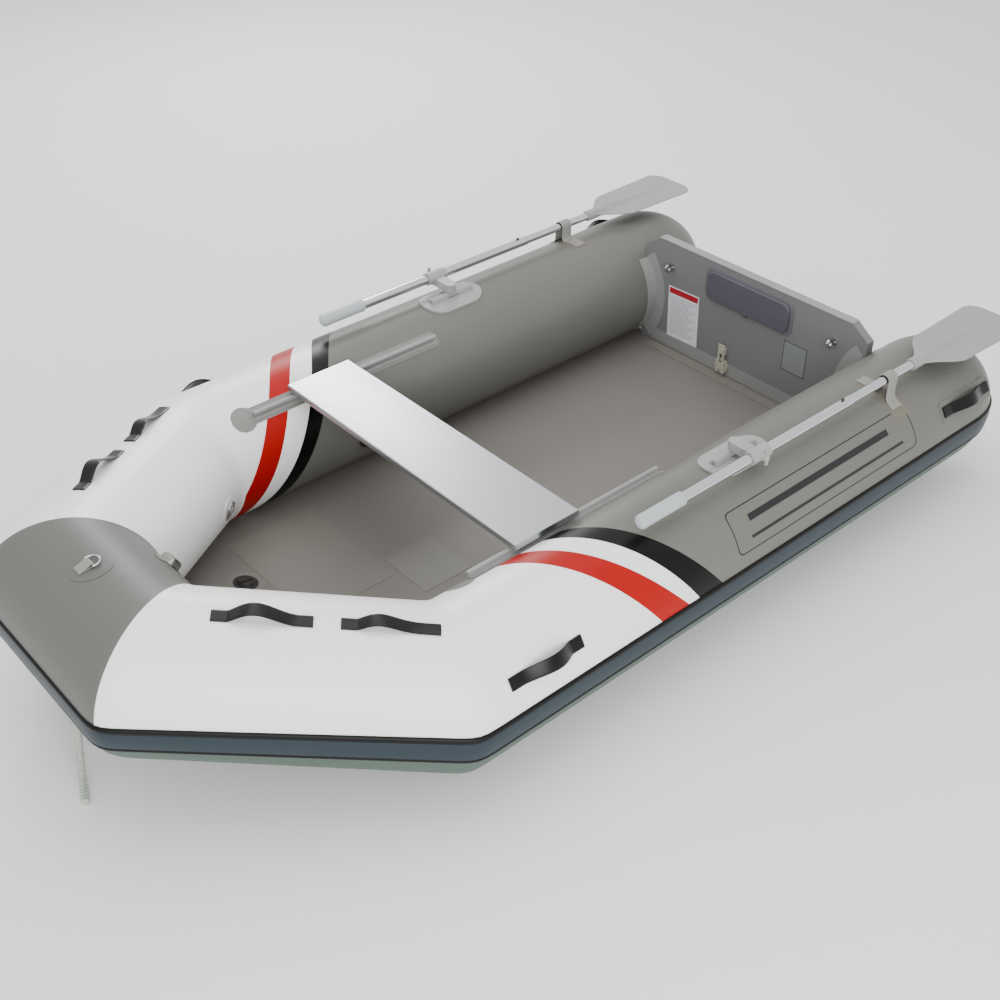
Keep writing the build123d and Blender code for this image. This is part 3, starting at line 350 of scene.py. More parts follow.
# %% Other finishes
rubber_black = two_tone("extruded_rubber_black", "#010101", "#030304", 0.42, 0.05, 120, 3, 0.1, IOR=1.52,
                        Specular_IOR_Level=0.2)
rubber_slate = two_tone("extruded_rubber_slate", "#182832", "#14232C", 0.46, 0.05, 160, 3, 0.1, IOR=1.52,
                        Specular_IOR_Level=0.35)
webbing_black = two_tone("coated_strap_black", "#010101", "#030303", 0.3, 0.05, 30, 1.6, 0.2, IOR=1.5,
                         Specular_IOR_Level=0.3)
webbing_grey = two_tone("woven_webbing_grey", "#8C8B85", "#7A7975", 0.5, 0.06, 24, 1.6, 0.35, IOR=1.53)
abs_light = two_tone("moulded_abs_light_grey", "#9A9B98", "#8F908D", 0.34, 0.05, 60, 2.5, 0.12, IOR=1.54)
blade_plastic = two_tone("moulded_polypropylene_grey", "#959994", "#8B8F8A", 0.4, 0.05, 90, 2.5, 0.12,
                         IOR=1.5)
grip_plastic = two_tone("moulded_grip_blue_grey", "#B0B7B9", "#A6ADAF", 0.42, 0.04, 50, 2, 0.15, IOR=1.5)
rail_plastic = two_tone("extruded_pvc_rail_grey", "#8F908D", "#838481", 0.38, 0.05, 80, 2.5, 0.1, IOR=1.53)
plastic_dark = two_tone("moulded_nylon_dark", "#24221F", "#1C1B19", 0.4, 0.05, 30, 2, 0.12, IOR=1.53)
plastic_beige = two_tone("moulded_abs_beige", "#ABA897", "#A09D8D", 0.36, 0.04, 30, 2, 0.1, IOR=1.54)
board_paint = two_tone("brushed_marine_paint_grey", "#747675", "#6D6F6E", 0.36, 0.05, 180, 3.5, 0.18,
                       IOR=1.5)
board_edge = two_tone("pvc_edge_trim_grey", "#8A8C89", "#828481", 0.4, 0.04, 120, 3, 0.1, IOR=1.53)
pad_plastic = two_tone("moulded_pad_violet_grey", "#54525B", "#4D4B54", 0.45, 0.05, 70, 2.5, 0.15, IOR=1.5)
pad_base_plastic = two_tone("moulded_pad_base_grey", "#6A696E", "#626166", 0.45, 0.05, 70, 2.5, 0.15,
                            IOR=1.5)
label_white = two_tone("vinyl_label_white", "#D8D9DE", "#D0D1D7", 0.4, 0.04, 50, 3, 0.03, IOR=1.5)
label_red = two_tone("vinyl_label_red", "#A91D2C", "#A01A28", 0.4, 0.04, 50, 3, 0.03, IOR=1.5)
label_grey = two_tone("vinyl_label_grey", "#7E8181", "#777A7A", 0.35, 0.04, 50, 3, 0.03, IOR=1.5)
rope_fibre = two_tone("braided_polyester_rope", "#BCC2B6", "#A2A99D", 0.72, 0.06, 9, 1.2, 0.4, IOR=1.5)
aluminium_brushed = two_tone("brushed_anodised_aluminium", "#C0C3C5", "#A8ACAF", 0.34, 0.07, 40, 2.2, 0.1,
                             stretch=(1, 0.012, 1), Metallic=1.0)
aluminium_drawn = two_tone("polished_drawn_aluminium", "#D9DBDC", "#C3C7C9", 0.12, 0.04, 60, 6, 0.04,
                           stretch=(0.05, 1, 1), Metallic=1.0)
stainless = two_tone("polished_stainless_steel", "#C9CACB", "#B4B6B8", 0.16, 0.05, 20, 3, 0.05, Metallic=1.0)
print(len(bpy.data.materials), "finishes")

# %% [markdown]
# ## Studio floor, light and rope
# A pale paper floor and three large soft lights give broad highlights on round tubes. The rope comes
# next. It hangs from the towing ring and its end lies on the floor. It is
# one smooth NURBS curve with few control points, since rope bends evenly and never in corners.

# %% Floor, light, rope
paper = two_tone("matt_studio_paper", "#F2F2F0", "#EEEEEC", 0.85, 0.03, 600, 9, 0.05)
PAPER = 60
paper_mesh = bpy.data.meshes.new("studio_floor")
paper_corners = [(x * PAPER, y * PAPER, -MM) for x, y in ((-1, -1), (1, -1), (1, 1), (-1, 1))]
paper_mesh.from_pydata(paper_corners, [], [(0, 1, 2, 3)])
paper_mesh.materials.append(paper)
studio_floor = bpy.data.objects.new("studio_floor", paper_mesh)
bpy.context.scene.collection.objects.link(studio_floor)

world = bpy.data.worlds.new("studio")
world.use_nodes = True
world.node_tree.nodes["Background"].inputs["Color"].default_value = linear("#F3F4F6")
world.node_tree.nodes["Background"].inputs["Strength"].default_value = 1.3
bpy.context.scene.world = world

for light_name, at, size, watts in (("top_softbox", (0.1, -0.2, 3.4), 3.4, 62),
                                    ("port_softbox", (2.2, 3.5, 1.5), 2.4, 125),
                                    ("stern_softbox", (-1.9, -3.9, 2.5), 1.3, 85)):
    lamp = bpy.data.objects.new(light_name, bpy.data.lights.new(light_name, "AREA"))
    lamp.data.size, lamp.data.energy = size, watts
    lamp.location = at
    lamp.rotation_euler = (Vector((0, 0, 0.2)) - Vector(at)).to_track_quat("-Z", "Y").to_euler()
    bpy.context.scene.collection.objects.link(lamp)

ROPE_POINTS = ((1.1657, 0, 0.1383), (1.1677, 0.003, 0.104), (1.1757, 0.016, 0.07), (1.1897, 0.04, 0.04),
               (1.2057, 0.07, 0.018), (1.2187, 0.098, 0.0087), (1.2297, 0.124, 0.0084))
ROPE_R, BRAID_COVER = 8 * MM, 1.2 * MM
rope_curve = bpy.data.curves.new("painter", "CURVE")
rope_curve.dimensions = "3D"
rope_spline = rope_curve.splines.new("NURBS")
rope_spline.points.add(len(ROPE_POINTS) - 1)
for knot, point in zip(rope_spline.points, ROPE_POINTS):
    knot.co = (*point, 1)
    knot.radius = ROPE_R - BRAID_COVER
rope_spline.order_u = 3
rope_spline.use_endpoint_u = True
rope_spline.resolution_u = 24
rope_curve.bevel_depth = 1.0
rope_curve.bevel_resolution = 5
rope_curve.use_fill_caps = True
rope_curve.materials.append(rope_fibre)
painter = bpy.data.objects.new("painter", rope_curve)
bpy.context.scene.collection.objects.link(painter)
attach(painter, "hull")
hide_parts("painter_rope")
print("rope control points", len(ROPE_POINTS))

# %% [markdown]
# A braid is strands wound both ways round a core. The strands follow points read from the rope's own
# smooth curve, taken without thickness, so they bend exactly as it does. Real strands are about 2 mm
# across; four each way are drawn here, thick enough to show.

# %% Rope braid
def square_to(line):
    """Two unit directions square to a line of points and to each other, at every point."""
    forward = np.gradient(line, axis=0)
    forward /= np.linalg.norm(forward, axis=1)[:, None]
    across = np.cross(forward, (1.0, 0.0, 0.0))
    across /= np.linalg.norm(across, axis=1)[:, None]
    return across, np.cross(forward, across)


STRAND_R, STRANDS, STRAND_SIDES, BRAID_PITCH, WEAVE = 2.1 * MM, 8, 7, 34 * MM, 0.7 * MM
bare_curve = rope_curve.copy()
bare_curve.bevel_depth = 0.0
bare_line = bpy.data.objects.new("bare_line", bare_curve)
core_mesh = bpy.data.meshes.new_from_object(bare_line)
bpy.data.objects.remove(bare_line)
core_line = np.array([vertex.co[:] for vertex in core_mesh.vertices])
core_step = np.linalg.norm(np.diff(core_line, axis=0), axis=1)
core_run = np.append(0, np.cumsum(core_step))
along = np.linspace(0, core_run[-1], 150)
core_line = np.stack([np.interp(along, core_run, core_line[:, k]) for k in range(3)], -1)
core_side, core_other = square_to(core_line)
strand_parts = []
for strand in range(STRANDS):
    way = 1 if strand % 2 else -1
    turn = 2 * pi * (strand // 2) / (STRANDS // 2) + way * 2 * pi * along / BRAID_PITCH
    weave = ROPE_R - STRAND_R * 1.05 + WEAVE * way * np.cos(2 * turn * way)
    outward = np.cos(turn)[:, None] * core_side + np.sin(turn)[:, None] * core_other
    line = core_line + weave[:, None] * outward
    line[:, 2] = np.maximum(line[:, 2], STRAND_R)
    across, other = square_to(line)
    rings = [line + STRAND_R * (x * across + y * other) for x, y in round_outline(1, STRAND_SIDES)]
    faces = grid_faces(len(line), STRAND_SIDES, ring=True) + end_caps(len(line), STRAND_SIDES)
    strand_parts.append((np.stack(rings, 1).reshape(-1, 3), faces))
braid = make_piece("painter_braid", *joined(strand_parts), (rope_fibre,), slot="rope", crease=60)
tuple(ROPE_POINTS[0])

# %% [markdown]
# ## Blown-up tube
# Five cut panels make the tube: two sides with rounded ends, two bow pieces and the nose. Air pressure
# pulls every panel round, and a welded corner between two of them is not a knife edge but a tight curve.
# So the skin is one grid whose long lines run from the stern to the nose. It is exactly round, and only
# the rows next to a corner are averaged. Which face is grey or white comes from its row.

# %% Long lines of the tube
STRIPE_ANGLES = (10, 61, 102, 219)
BLACK_BACK, BLACK_FRONT = (-0.635, -0.511, -0.432, -0.185), (-0.560, -0.457, -0.376, -0.135)
RED_BACK, RED_FRONT = (-0.523, -0.408, -0.304, -0.090), (-0.438, -0.348, -0.238, -0.012)


def stripe_edge(distances):
    """Curve through measured distances from the kink, as a function of the angle round the tube."""
    curve = np.polyfit(STRIPE_ANGLES, distances, 2)
    return lambda angle: KINK_X + np.polyval(curve, angle)


def colour_edge(angle):
    """Where grey fabric ends and white begins, hidden under the black stripe, closed under the tube."""
    back, front = stripe_edge(BLACK_BACK), stripe_edge(BLACK_FRONT)
    turn = (np.asarray(angle, float) + 10) % 360 - 10
    known = np.linspace(-10, 240, 51)
    return np.interp(turn, np.append(known, 350), np.append((back(known) + front(known)) / 2,
                                                            (back(-10) + front(-10)) / 2))


ROWS = (22, 34, 36, 44, 14)
CORNER_ROWS = (sum(ROWS[:3]), sum(ROWS[:4]))


def hull_lines(angles, height, start=radians(89)):
    """Rows of points from the stern to the nose's middle on the port side, one column per angle."""
    turn = np.radians(np.asarray(angles, float))
    out = TUBE_R + np.broadcast_to(np.asarray(height, float), turn.shape)
    c, s = np.cos(turn), np.sin(turn)
    side_x = KINK_X - out * (c * bow_dir[1] + s * bow_dir[2]) / (1 + bow_dir[0])
    nose_y = NOSE_HALF + out * (c * bow_dir[0] + s * bow_dir[2]) / (1 - bow_dir[1])
    at_kink = np.stack([side_x, HALF_Y + out * c, AXIS_Z + out * s], -1) - kink
    at_nose = np.stack([NOSE_X + out * c, nose_y, NOSE_Z + out * s], -1) - kink
    ends = []
    for corner in (at_kink, at_nose):
        found = np.arctan2(corner @ bow_up, corner @ bow_out)
        ends.append((corner @ bow_dir, turn + (found - turn + pi) % (2 * pi) - pi))
    rows = []
    for tilt in np.linspace(start, 0, ROWS[0], endpoint=False):
        shrunk = out * cos(tilt)
        rows.append(np.stack([DOME_X - (out - TUBE_R + DOME) * sin(tilt) + 0 * c,
                              HALF_Y + shrunk * c, AXIS_Z + shrunk * s], -1))
    edge = colour_edge(angles)
    for first, last, count in ((DOME_X + 0 * c, edge, ROWS[1]), (edge, side_x, ROWS[2])):
        for share in np.linspace(0, 1, count, endpoint=False):
            rows.append(np.stack([first + (last - first) * share, HALF_Y + out * c, AXIS_Z + out * s], -1))
    for share in np.linspace(0, 1, ROWS[3], endpoint=False):
        run, around = [a + (b - a) * share for a, b in zip(*ends)]
        rows.append(kink + run[:, None] * bow_dir
                    + out[:, None] * (np.cos(around)[:, None] * bow_out + np.sin(around)[:, None] * bow_up))
    for share in np.linspace(0, 1, ROWS[4]):
        rows.append(np.stack([NOSE_X + out * c, nose_y * (1 - share), NOSE_Z + out * s], -1))
    lines = np.array(rows)
    for _ in range(3):
        soft = lines.copy()
        for corner in CORNER_ROWS:
            for row in range(corner - 3, corner + 4):
                soft[row] = (lines[row - 1] + 2 * lines[row] + lines[row + 1]) / 4
        lines = soft
    return lines


def both_sides(port):
    """Port rows, then the mirrored rows back to the stern."""
    return np.concatenate([port, (port * np.array([1, -1, 1]))[-2::-1]])


# %% The skin
pvc_under = coated_fabric("pvc_coated_fabric_underside", "#43564B", "#3E5046", 0.5)
SKIN_ANGLES = np.arange(-180, 180, 3.75)
skin = both_sides(hull_lines(SKIN_ANGLES, 0.0))
skin_rows = len(skin)
row_finish = np.zeros(skin_rows - 1, int)
half_rows = len(hull_lines((0,), 0.0)) - 1
row_finish[sum(ROWS[:2]):sum(ROWS[:4])] = 1
row_finish[sum(ROWS[:4]):half_rows] = 2
row_finish[half_rows:] = row_finish[:half_rows][::-1]
skin_finish = np.repeat(row_finish[:, None], len(SKIN_ANGLES), 1)
below = (SKIN_ANGLES > -121) & (SKIN_ANGLES < -15)
skin_finish[:, below] = 3
skin_faces = grid_faces(skin_rows, len(SKIN_ANGLES), ring=True)
skin_faces += end_caps(skin_rows, len(SKIN_ANGLES))
tube_skin = make_piece("tube_skin", skin, skin_faces, (pvc_grey, pvc_white, pvc_nose_grey, pvc_under),
                       nodes=("aft_tube_port", "aft_tube_starboard", "bow_tube_port", "bow_tube_starboard",
                              "nose_tube"), slot="tube_fabric_grey",
                       finish_of_face=np.append(skin_finish.ravel(), [0, 0]), crease=60)
print("tube skin", len(tube_skin.data.polygons), "faces")

# %% [markdown]
# ## Stripes
# Red and black stripes are strips of the same fabric glued over the join of grey and white. They lean
# forward over the top of the tube. Each one is a thin sheet between two curves, half a millimetre
# proud, so its edge is a real step.

# %% Stripes
def band_on_side(back, front, angles, low, high, side, across=9):
    turn = np.radians(angles)
    sweep_back = (np.cos(turn) * bow_dir[1] + np.sin(turn) * bow_dir[2]) / (1 + bow_dir[0])
    limit = KINK_X - TUBE_R * sweep_back - 0.014
    x_back, x_front = np.minimum(back(angles), limit - 0.02), np.minimum(front(angles), limit)
    layers = []
    for height in (high, low):
        x = x_back + (x_front - x_back) * np.linspace(0, 1, across)[:, None]
        out = TUBE_R + height
        layers.append(stacked(x, side * (HALF_Y + out * np.cos(turn)), AXIS_Z + out * np.sin(turn)))
    return thick_sheet(*layers)


STRIPE_TURN = np.linspace(7, 237, 111)
for side, side_name in SIDES:
    for stripe, edges, finish in (("black", (BLACK_BACK, BLACK_FRONT), pvc_black),
                                  ("red", (RED_BACK, RED_FRONT), pvc_red)):
        back, front = stripe_edge(edges[0]), stripe_edge(edges[1])
        shape = band_on_side(back, front, STRIPE_TURN, 0.02 * MM, 0.45 * MM, side)
        make_piece(f"{stripe}_stripe_{side_name}", *shape, (finish,), slot="tube_fabric_white")
print("stripes", 4)

# %% [markdown]
# ## Rub strake
# A soft extrusion is glued round the widest line to take knocks. It has a black bead along its top, a
# broad slate band, and a thin black line at the foot. Its section is written as angle and height, and the
# same long lines carry it round the boat.

# %% Rub strake
STRAKE = ((7.9, 0.1, 0), (7.7, 2.6, 0), (7.0, 4.2, 0), (6.0, 5.0, 0), (4.8, 4.8, 0), (3.9, 4.0, 0),
          (3.6, 3.2, 0), (3.3, 3.2, 1), (2.0, 3.5, 1), (-1.0, 4.0, 1), (-4.0, 4.1, 1), (-8.0, 4.0, 1),
          (-11.4, 3.4, 1), (-11.8, 3.0, 0), (-12.1, 3.8, 0), (-13.0, 4.5, 0), (-14.2, 4.2, 0),
          (-15.2, 2.6, 0), (-15.6, 0.1, 0))
strake_angles = [angle for angle, _, _ in STRAKE]
strake_start = asin((DOME - 0.045) / DOME)
strake_top = hull_lines(strake_angles, [height * MM for _, height, _ in STRAKE], start=strake_start)
strake_low = hull_lines(strake_angles, 0.1 * MM, start=strake_start)
for row, share in enumerate((0.25, 0.7, 0.92)):
    strake_top[row] = strake_low[row] + (strake_top[row] - strake_low[row]) * share
points, faces = thick_sheet(both_sides(strake_top), both_sides(strake_low))
columns = len(STRAKE)
finish_of = [STRAKE[min(face[0], face[1]) % columns][2] for face in faces]
make_piece("strake", points, faces, (rubber_black, rubber_slate), nodes=("rub_strake",), slot="strake_rubber",
           finish_of_face=finish_of, crease=50)

# %% [markdown]
# ## Air floor
# The floor is a flat air mattress. Thousands of threads hold its two faces parallel, so only its rim is
# round. The mesh is a height over the plan: full thickness inside, and a quarter circle down over the
# last millimetres before the edge. The edge tucks a few millimetres into the soft tube, as a pumped-up
# floor does, so no light shows through the join. From the kink forward it rises with the bow.

# %% Air floor
FLOOR_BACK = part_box("air_floor")[0].x
FLOOR_T, LIP_T, LIP_IN = 58 * MM, 30 * MM, 45 * MM
FLOOR_ROUND, FLOOR_TUCK, FLOOR_CLEAR = 6 * MM, 5 * MM, 0.4 * MM
RISE = float((NOSE_Z - AXIS_Z) / BOW_RUN)
plan_cos = float(bow_dir[0] / np.hypot(bow_dir[0], bow_dir[1]))
plan_slope = float(-bow_dir[1] / bow_dir[0])
gap = AXIS_Z - FLOOR_T
pitch, sweep = 1 - bow_dir[2] ** 2, RISE * plan_slope * plan_cos


def inset(square, half_linear, level_gap):
    """How far inside a sloping tube's axis the floor meets it: the positive root of a quadratic."""
    root = (half_linear ** 2 + square * (TUBE_R ** 2 - level_gap)) ** 0.5
    return (root - half_linear) / square + FLOOR_CLEAR


side_inset = inset(1, 0, gap ** 2)
bow_inset = inset(1 + pitch * sweep ** 2, pitch * gap * sweep, pitch * gap ** 2)
nose_inset = inset(1 + RISE ** 2, gap * RISE, gap ** 2)


def floor_half_width(x, side_gap, bow_gap):
    on_bow = HALF_Y - bow_gap / plan_cos - (x - KINK_X) * plan_slope
    return np.minimum(HALF_Y - side_gap, on_bow)


def floor_panel(side_gap, bow_gap, front_gap, low, high, rim):
    """Closed panel from height low to high with a round rim, rising forward of the kink."""
    x_from, x_to = FLOOR_BACK, NOSE_X - front_gap
    near = np.array([0, 0.04, 0.15, 0.33, 0.6, 1.0, 1.6]) * rim
    x = np.concatenate([x_from + near, np.linspace(x_from + 2 * rim, KINK_X - 0.01, 40),
                        [KINK_X, KINK_X + 0.01],
                        np.linspace(KINK_X + 0.03, x_to - 2 * rim, 18), (x_to - near)[::-1]])
    half = floor_half_width(x, side_gap, bow_gap)
    inner = np.linspace(-1, 1, 31)[:, None] * (half - 2 * rim)
    across = np.concatenate([-half + near[:, None], inner, (half - near[:, None])[::-1]]).T
    slant = np.where(x > KINK_X, plan_cos, 1.0)[:, None]
    depth = np.minimum.reduce([(half[:, None] - np.abs(across)) * slant,
                               np.broadcast_to((x - x_from)[:, None], across.shape),
                               np.broadcast_to((x_to - x)[:, None], across.shape)])
    drop = rim - np.sqrt(np.clip(rim ** 2 - (rim - np.clip(depth, 0, rim)) ** 2, 0, None))
    rise = np.clip(x - KINK_X, 0, None)[:, None] * RISE
    xs = np.broadcast_to(x[:, None], across.shape)
    top = np.stack([xs, across, high - drop + rise], -1)
    base = np.stack([xs, across, np.minimum(low + drop, high - drop) + rise], -1)
    return thick_sheet(top, base)


upper = floor_panel(side_inset - FLOOR_TUCK, bow_inset - FLOOR_TUCK, nose_inset - FLOOR_TUCK,
                    12 * MM, FLOOR_T, FLOOR_ROUND)
lower = floor_panel(LIP_IN, LIP_IN, LIP_IN, 0.0, LIP_T, LIP_T * 0.49)
floor_panel_made = make_piece("floor_panel", *joined([upper, lower]), (pvc_floor,), nodes=("air_floor",),
                              slot="floor_fabric", crease=50)
print("floor reaches", round(NOSE_X - nose_inset, 3), "and is", round(2 * (HALF_Y - side_inset), 3), "wide")

# %% [markdown]
# ## Painted sheen on the floor
# Two thin sheets of a slightly lighter floor colour are painted highlight: they stand for light lying on
# the floor. They lie on the floor and follow its rise.

# %% Painted floor sheen
# Slightly lighter floor fabric: the floor flange and the valve patch have this colour, and the two floor
# sheets use it as painted highlight.
pvc_floor_light_and_sheen = two_tone("pvc_floor_fabric_light_and_painted_sheen", "#76736C", "#6E6B65", 0.46, 0.05, 300, 4, 0.15,
                           IOR=1.53)


def on_floor(u, v, h):
    x = np.asarray(u)
    z = FLOOR_T + np.clip(x - KINK_X, 0, None) * RISE + np.asarray(h)
    return stacked(x, v, z)


def floor_sheen_sheet(name, x_from, x_to, y_from, y_to):
    x = np.union1d(np.linspace(x_from, x_to, 40), [KINK_X] if x_from < KINK_X < x_to else [])
    y = np.linspace(y_from, y_to, 9)
    sheet = thick_sheet(on_floor(x[:, None], y[None], 0.7 * MM), on_floor(x[:, None], y[None], 0.1 * MM))
    return make_piece(name, *sheet, (pvc_floor_light_and_sheen,), slot="floor_fabric")


# Painted highlight: two lighter sheets stand for light on the floor.
floor_sheen_sheet("floor_painted_sheen_port", 0.20, 0.34, -0.04, 0.12)
floor_sheen_sheet("floor_painted_sheen_front", 0.36, 0.60, -0.34, 0.02)

# %% [markdown]
# ## Patches and handles
# A handle is a flat moulded strap whose two feet are glued to a patch. The grip stands off far enough for
# fingers. The strap is bent in its own plane as a profile and then swept across its width, with its edges
# thinned so that they read as rounded. Patches take the colour of the tube they sit on.

# %% Straps from a profile
def ribbon(place, profile, width, thick, along_u=True, flip=1):
    """Strap of millimetre width and thickness that follows a profile of (along, height) in millimetres."""
    line = np.asarray(profile, float) * MM
    step = np.gradient(line, axis=0)
    normal = np.stack([-step[:, 1], step[:, 0]], -1)
    normal /= np.linalg.norm(normal, axis=1)[:, None]
    shares = np.array([-1, -0.97, -0.88, -0.6, 0, 0.6, 0.88, 0.97, 1])
    fat = np.array([0.3, 0.75, 1, 1, 1, 1, 1, 0.75, 0.3])
    across = shares * width / 2 * MM
    sheets = []
    for sign in (1, -1):
        grid = line[:, None] + normal[:, None] * (thick * MM * (0.5 + sign * 0.5 * fat))[None, :, None]
        along, height = grid[..., 0], grid[..., 1]
        v = np.broadcast_to(across, along.shape)
        sheets.append(place(along, v, height) if along_u else place(v, flip * along, height))
    return thick_sheet(*sheets)


def arch(length, foot, rise, lean=0.0, steps=72):
    """Profile of a handle: flat feet, then a smooth hump whose top leans toward one end."""
    along = np.linspace(-length / 2, length / 2, steps)
    reach = length / 2 - foot
    share = np.clip(along / reach, -1, 1)
    warped = share + lean * (1 - share ** 2)
    hump = (0.5 + 0.5 * np.cos(pi * np.clip(warped, -1, 1))) ** 0.7
    return np.stack([along, 1.6 + rise * hump * (np.abs(share) < 1)], -1)


def patch_piece(name, outline, place, finish, node=None, low=0.05, high=1.2, slot="patch_fabric"):
    return make_piece(name, *disc_sheet(outline, place, low * MM, high * MM), (finish,),
                      nodes=(node,) if node else (), slot=slot)


# %% Handles
HANDLE_OUTLINE = rounded_outline(0.212, 0.056, 0.012)
for side, side_name in SIDES:
    spots = ((on_bow_tube(0.130, 83, side), pvc_white, -0.40, 17),
             (on_bow_tube(0.374, 83, side), pvc_white, -0.22, 25),
             (on_side_tube(KINK_X - 0.134, 31, side), pvc_white, 0.15, 24),
             (on_side_tube(KINK_X - 1.577, 31, side), pvc_grey, 0.0, 22))
    for number, (place, finish, lean, rise) in enumerate(spots, 1):
        patch_piece(f"handle_patch_{number}_{side_name}", HANDLE_OUTLINE, place, finish,
                    node="handle_patches" if number == 1 and side > 0 else None)
        make_piece(f"handle_{number}_{side_name}", *ribbon(place, arch(192, 30, rise, lean), 28, 3.4),
                   (webbing_black,), nodes=("carrying_handles",) if number == 1 and side > 0 else (),
                   slot="dark_plastic")
print("handles", 8)

# %% [markdown]
# ## Rings and their tabs
# Each steel ring is held by folded webbing sewn to a round patch. The webbing runs under the ring's bar,
# round it, and back over itself.

# %% Rings, tabs and the inner loop
TAB = [(-30, 1.5), (-20, 1.5), (-10, 1.5), (-3, 1.5)]
TAB += [(4.6 * cos(radians(t)), 6.1 + 4.6 * sin(radians(t))) for t in range(-90, 91, 12)]
TAB += [(-6, 9.6), (-12, 7.4), (-18, 6.0), (-28, 5.6)]
SIDE_TAB = [(max(p, -24), h) for p, h in TAB]
ROUND_92, ROUND_62 = round_outline(0.046), round_outline(0.031)
nose_top, nose_tow, nose_in = on_nose_tube(0, 86), on_nose_tube(0, -48), on_nose_tube(0, 150)
patch_piece("ring_patch_top", ROUND_92, nose_top, pvc_nose_grey, node="ring_patches")
patch_piece("ring_patch_tow", ROUND_92, nose_tow, pvc_under)
make_piece("ring_tab_top", *ribbon(nose_top, TAB, 26, 2, along_u=False), (webbing_grey,), nodes=("ring_tabs",),
           slot="webbing")
make_piece("ring_tab_tow", *ribbon(nose_tow, TAB, 26, 2, along_u=False, flip=-1), (webbing_grey,),
           slot="webbing")
for side, side_name in SIDES:
    inner = on_bow_tube(0.135, 190, side)
    patch_piece(f"ring_patch_{side_name}", ROUND_62, inner, pvc_white)
    make_piece(f"ring_tab_{side_name}", *ribbon(inner, SIDE_TAB, 26, 2, along_u=False, flip=-1),
               (webbing_grey,), slot="webbing")
LOOP = [(-38, 0.4), (-30, 0.4), (-22, 0.5), (-18, 2), (-17, 8), (-15, 13), (-9, 15.6), (0, 16), (9, 15.6),
        (15, 13), (17, 8), (18, 2), (22, 0.5), (30, 0.4), (38, 0.4)]
make_piece("inner_loop", *ribbon(nose_in, LOOP, 28, 2, along_u=False), (webbing_grey,),
           nodes=("inner_webbing_loop",), slot="webbing")

# %% [markdown]
# ## Hard parts
# A moulded or cut part never has a perfectly sharp edge, and the thin line of light on that edge is what
# makes it look solid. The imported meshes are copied, cleaned of the triangles that a file format needs, and
# given a narrow bevel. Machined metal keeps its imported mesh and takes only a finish.

# %% Softened copies and plain finishes
def bevel_edges(piece, width, segments=3, angle=40):
    bevel = piece.modifiers.new("edge", "BEVEL")
    bevel.width, bevel.segments = width * MM, segments
    bevel.limit_method, bevel.angle_limit = "ANGLE", radians(angle)
    return bevel


def soften(node, body, finish, width, slot, segments=2):
    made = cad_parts[node].copy()
    made.data = made.data.copy()
    made.name = f"{node}_finished"
    made.modifiers.clear()
    bpy.context.scene.collection.objects.link(made)
    shape = bmesh.new()
    shape.from_mesh(made.data)
    bmesh.ops.remove_doubles(shape, verts=shape.verts, dist=2e-5)
    bmesh.ops.dissolve_limit(shape, angle_limit=radians(0.6), verts=shape.verts, edges=shape.edges)
    shape.to_mesh(made.data)
    shape.free()
    made.data.materials.clear()
    made.data.materials.append(finish)
    made.data.polygons.foreach_set("material_index", [0] * len(made.data.polygons))
    made.data.polygons.foreach_set("use_smooth", [True] * len(made.data.polygons))
    made.data.set_sharp_from_angle(angle=radians(30))
    bevel_edges(made, width, segments, angle=30).harden_normals = True
    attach(made, body)
    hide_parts(node)


def finish_node(node, finish):
    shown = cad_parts[node]
    for place in shown.material_slots:
        place.link = "OBJECT"
        place.material = finish


for row in (("transom_board", "hull", board_paint, 2.0, "transom_paint", 3),
            ("transom_top_trim", "hull", board_edge, 1.0, "light_plastic"),
            ("side_flanges", "hull", board_edge, 0.5, "transom_paint"),
            ("floor_flange", "hull", pvc_floor_light_and_sheen, 0.5, "transom_paint"),
            ("motor_plate_outer", "hull", pad_plastic, 1.2, "pad_plastic"),
            ("drain_body", "hull", plastic_beige, 0.8, "light_plastic"),
            ("drain_guide", "hull", plastic_beige, 0.6, "light_plastic"),
            ("seat_rails", "hull", rail_plastic, 0.6, "rail_plastic"),
            ("floor_valve_body", "hull", plastic_dark, 0.8, "dark_plastic"),
            ("floor_valve_cap", "floor_valve_plug", plastic_dark, 0.8, "dark_plastic")):
    soften(*row)
for _, side_name in SIDES:
    for node, body, *rest in (("oarlock_base", "hull", abs_light, 1.6, "light_plastic", 3),
                              ("oarlock_swivel", "oarlock_pivot", abs_light, 1.0, "light_plastic"),
                              ("oarlock_collar", "oar", abs_light, 1.6, "light_plastic", 3),
                              ("oarlock_knob", "oarlock_clamp_knob", abs_light, 1.2, "light_plastic", 3),
                              ("tube_valve_body", "hull", plastic_dark, 0.8, "dark_plastic"),
                              ("tube_valve_cap", "tube_valve_plug", plastic_dark, 0.8, "dark_plastic")):
        soften(f"{node}_{side_name}", body if body == "hull" else f"{body}_{side_name}", *rest)
    finish_node(f"oar_upper_shaft_{side_name}", aluminium_drawn)
    finish_node(f"oar_lower_shaft_{side_name}", aluminium_drawn)
    finish_node(f"oar_button_{side_name}", plastic_dark)
for node, finish in (("seat_plank", aluminium_brushed), ("seat_hooks", aluminium_drawn),
                     ("bow_ring", stainless), ("towing_ring", stainless), ("side_rings", stainless),
                     ("transom_eye_bolts", stainless), ("transom_eye_nuts", stainless),
                     ("drain_flap", rubber_black), ("chamber_baffles", pvc_grey)):
    finish_node(node, finish)

# %% [markdown]
# ## Fittings on the transom
# The clamp pad is moulded in two steps: a thin base and a round-edged plate with a button at its foot. The
# drain's shutter is a narrow slotted tongue over a wider foot. Both are drawn as flat outlines pushed out
# from the board, then bevelled. A band of lighter fabric covers the board's lower edge.

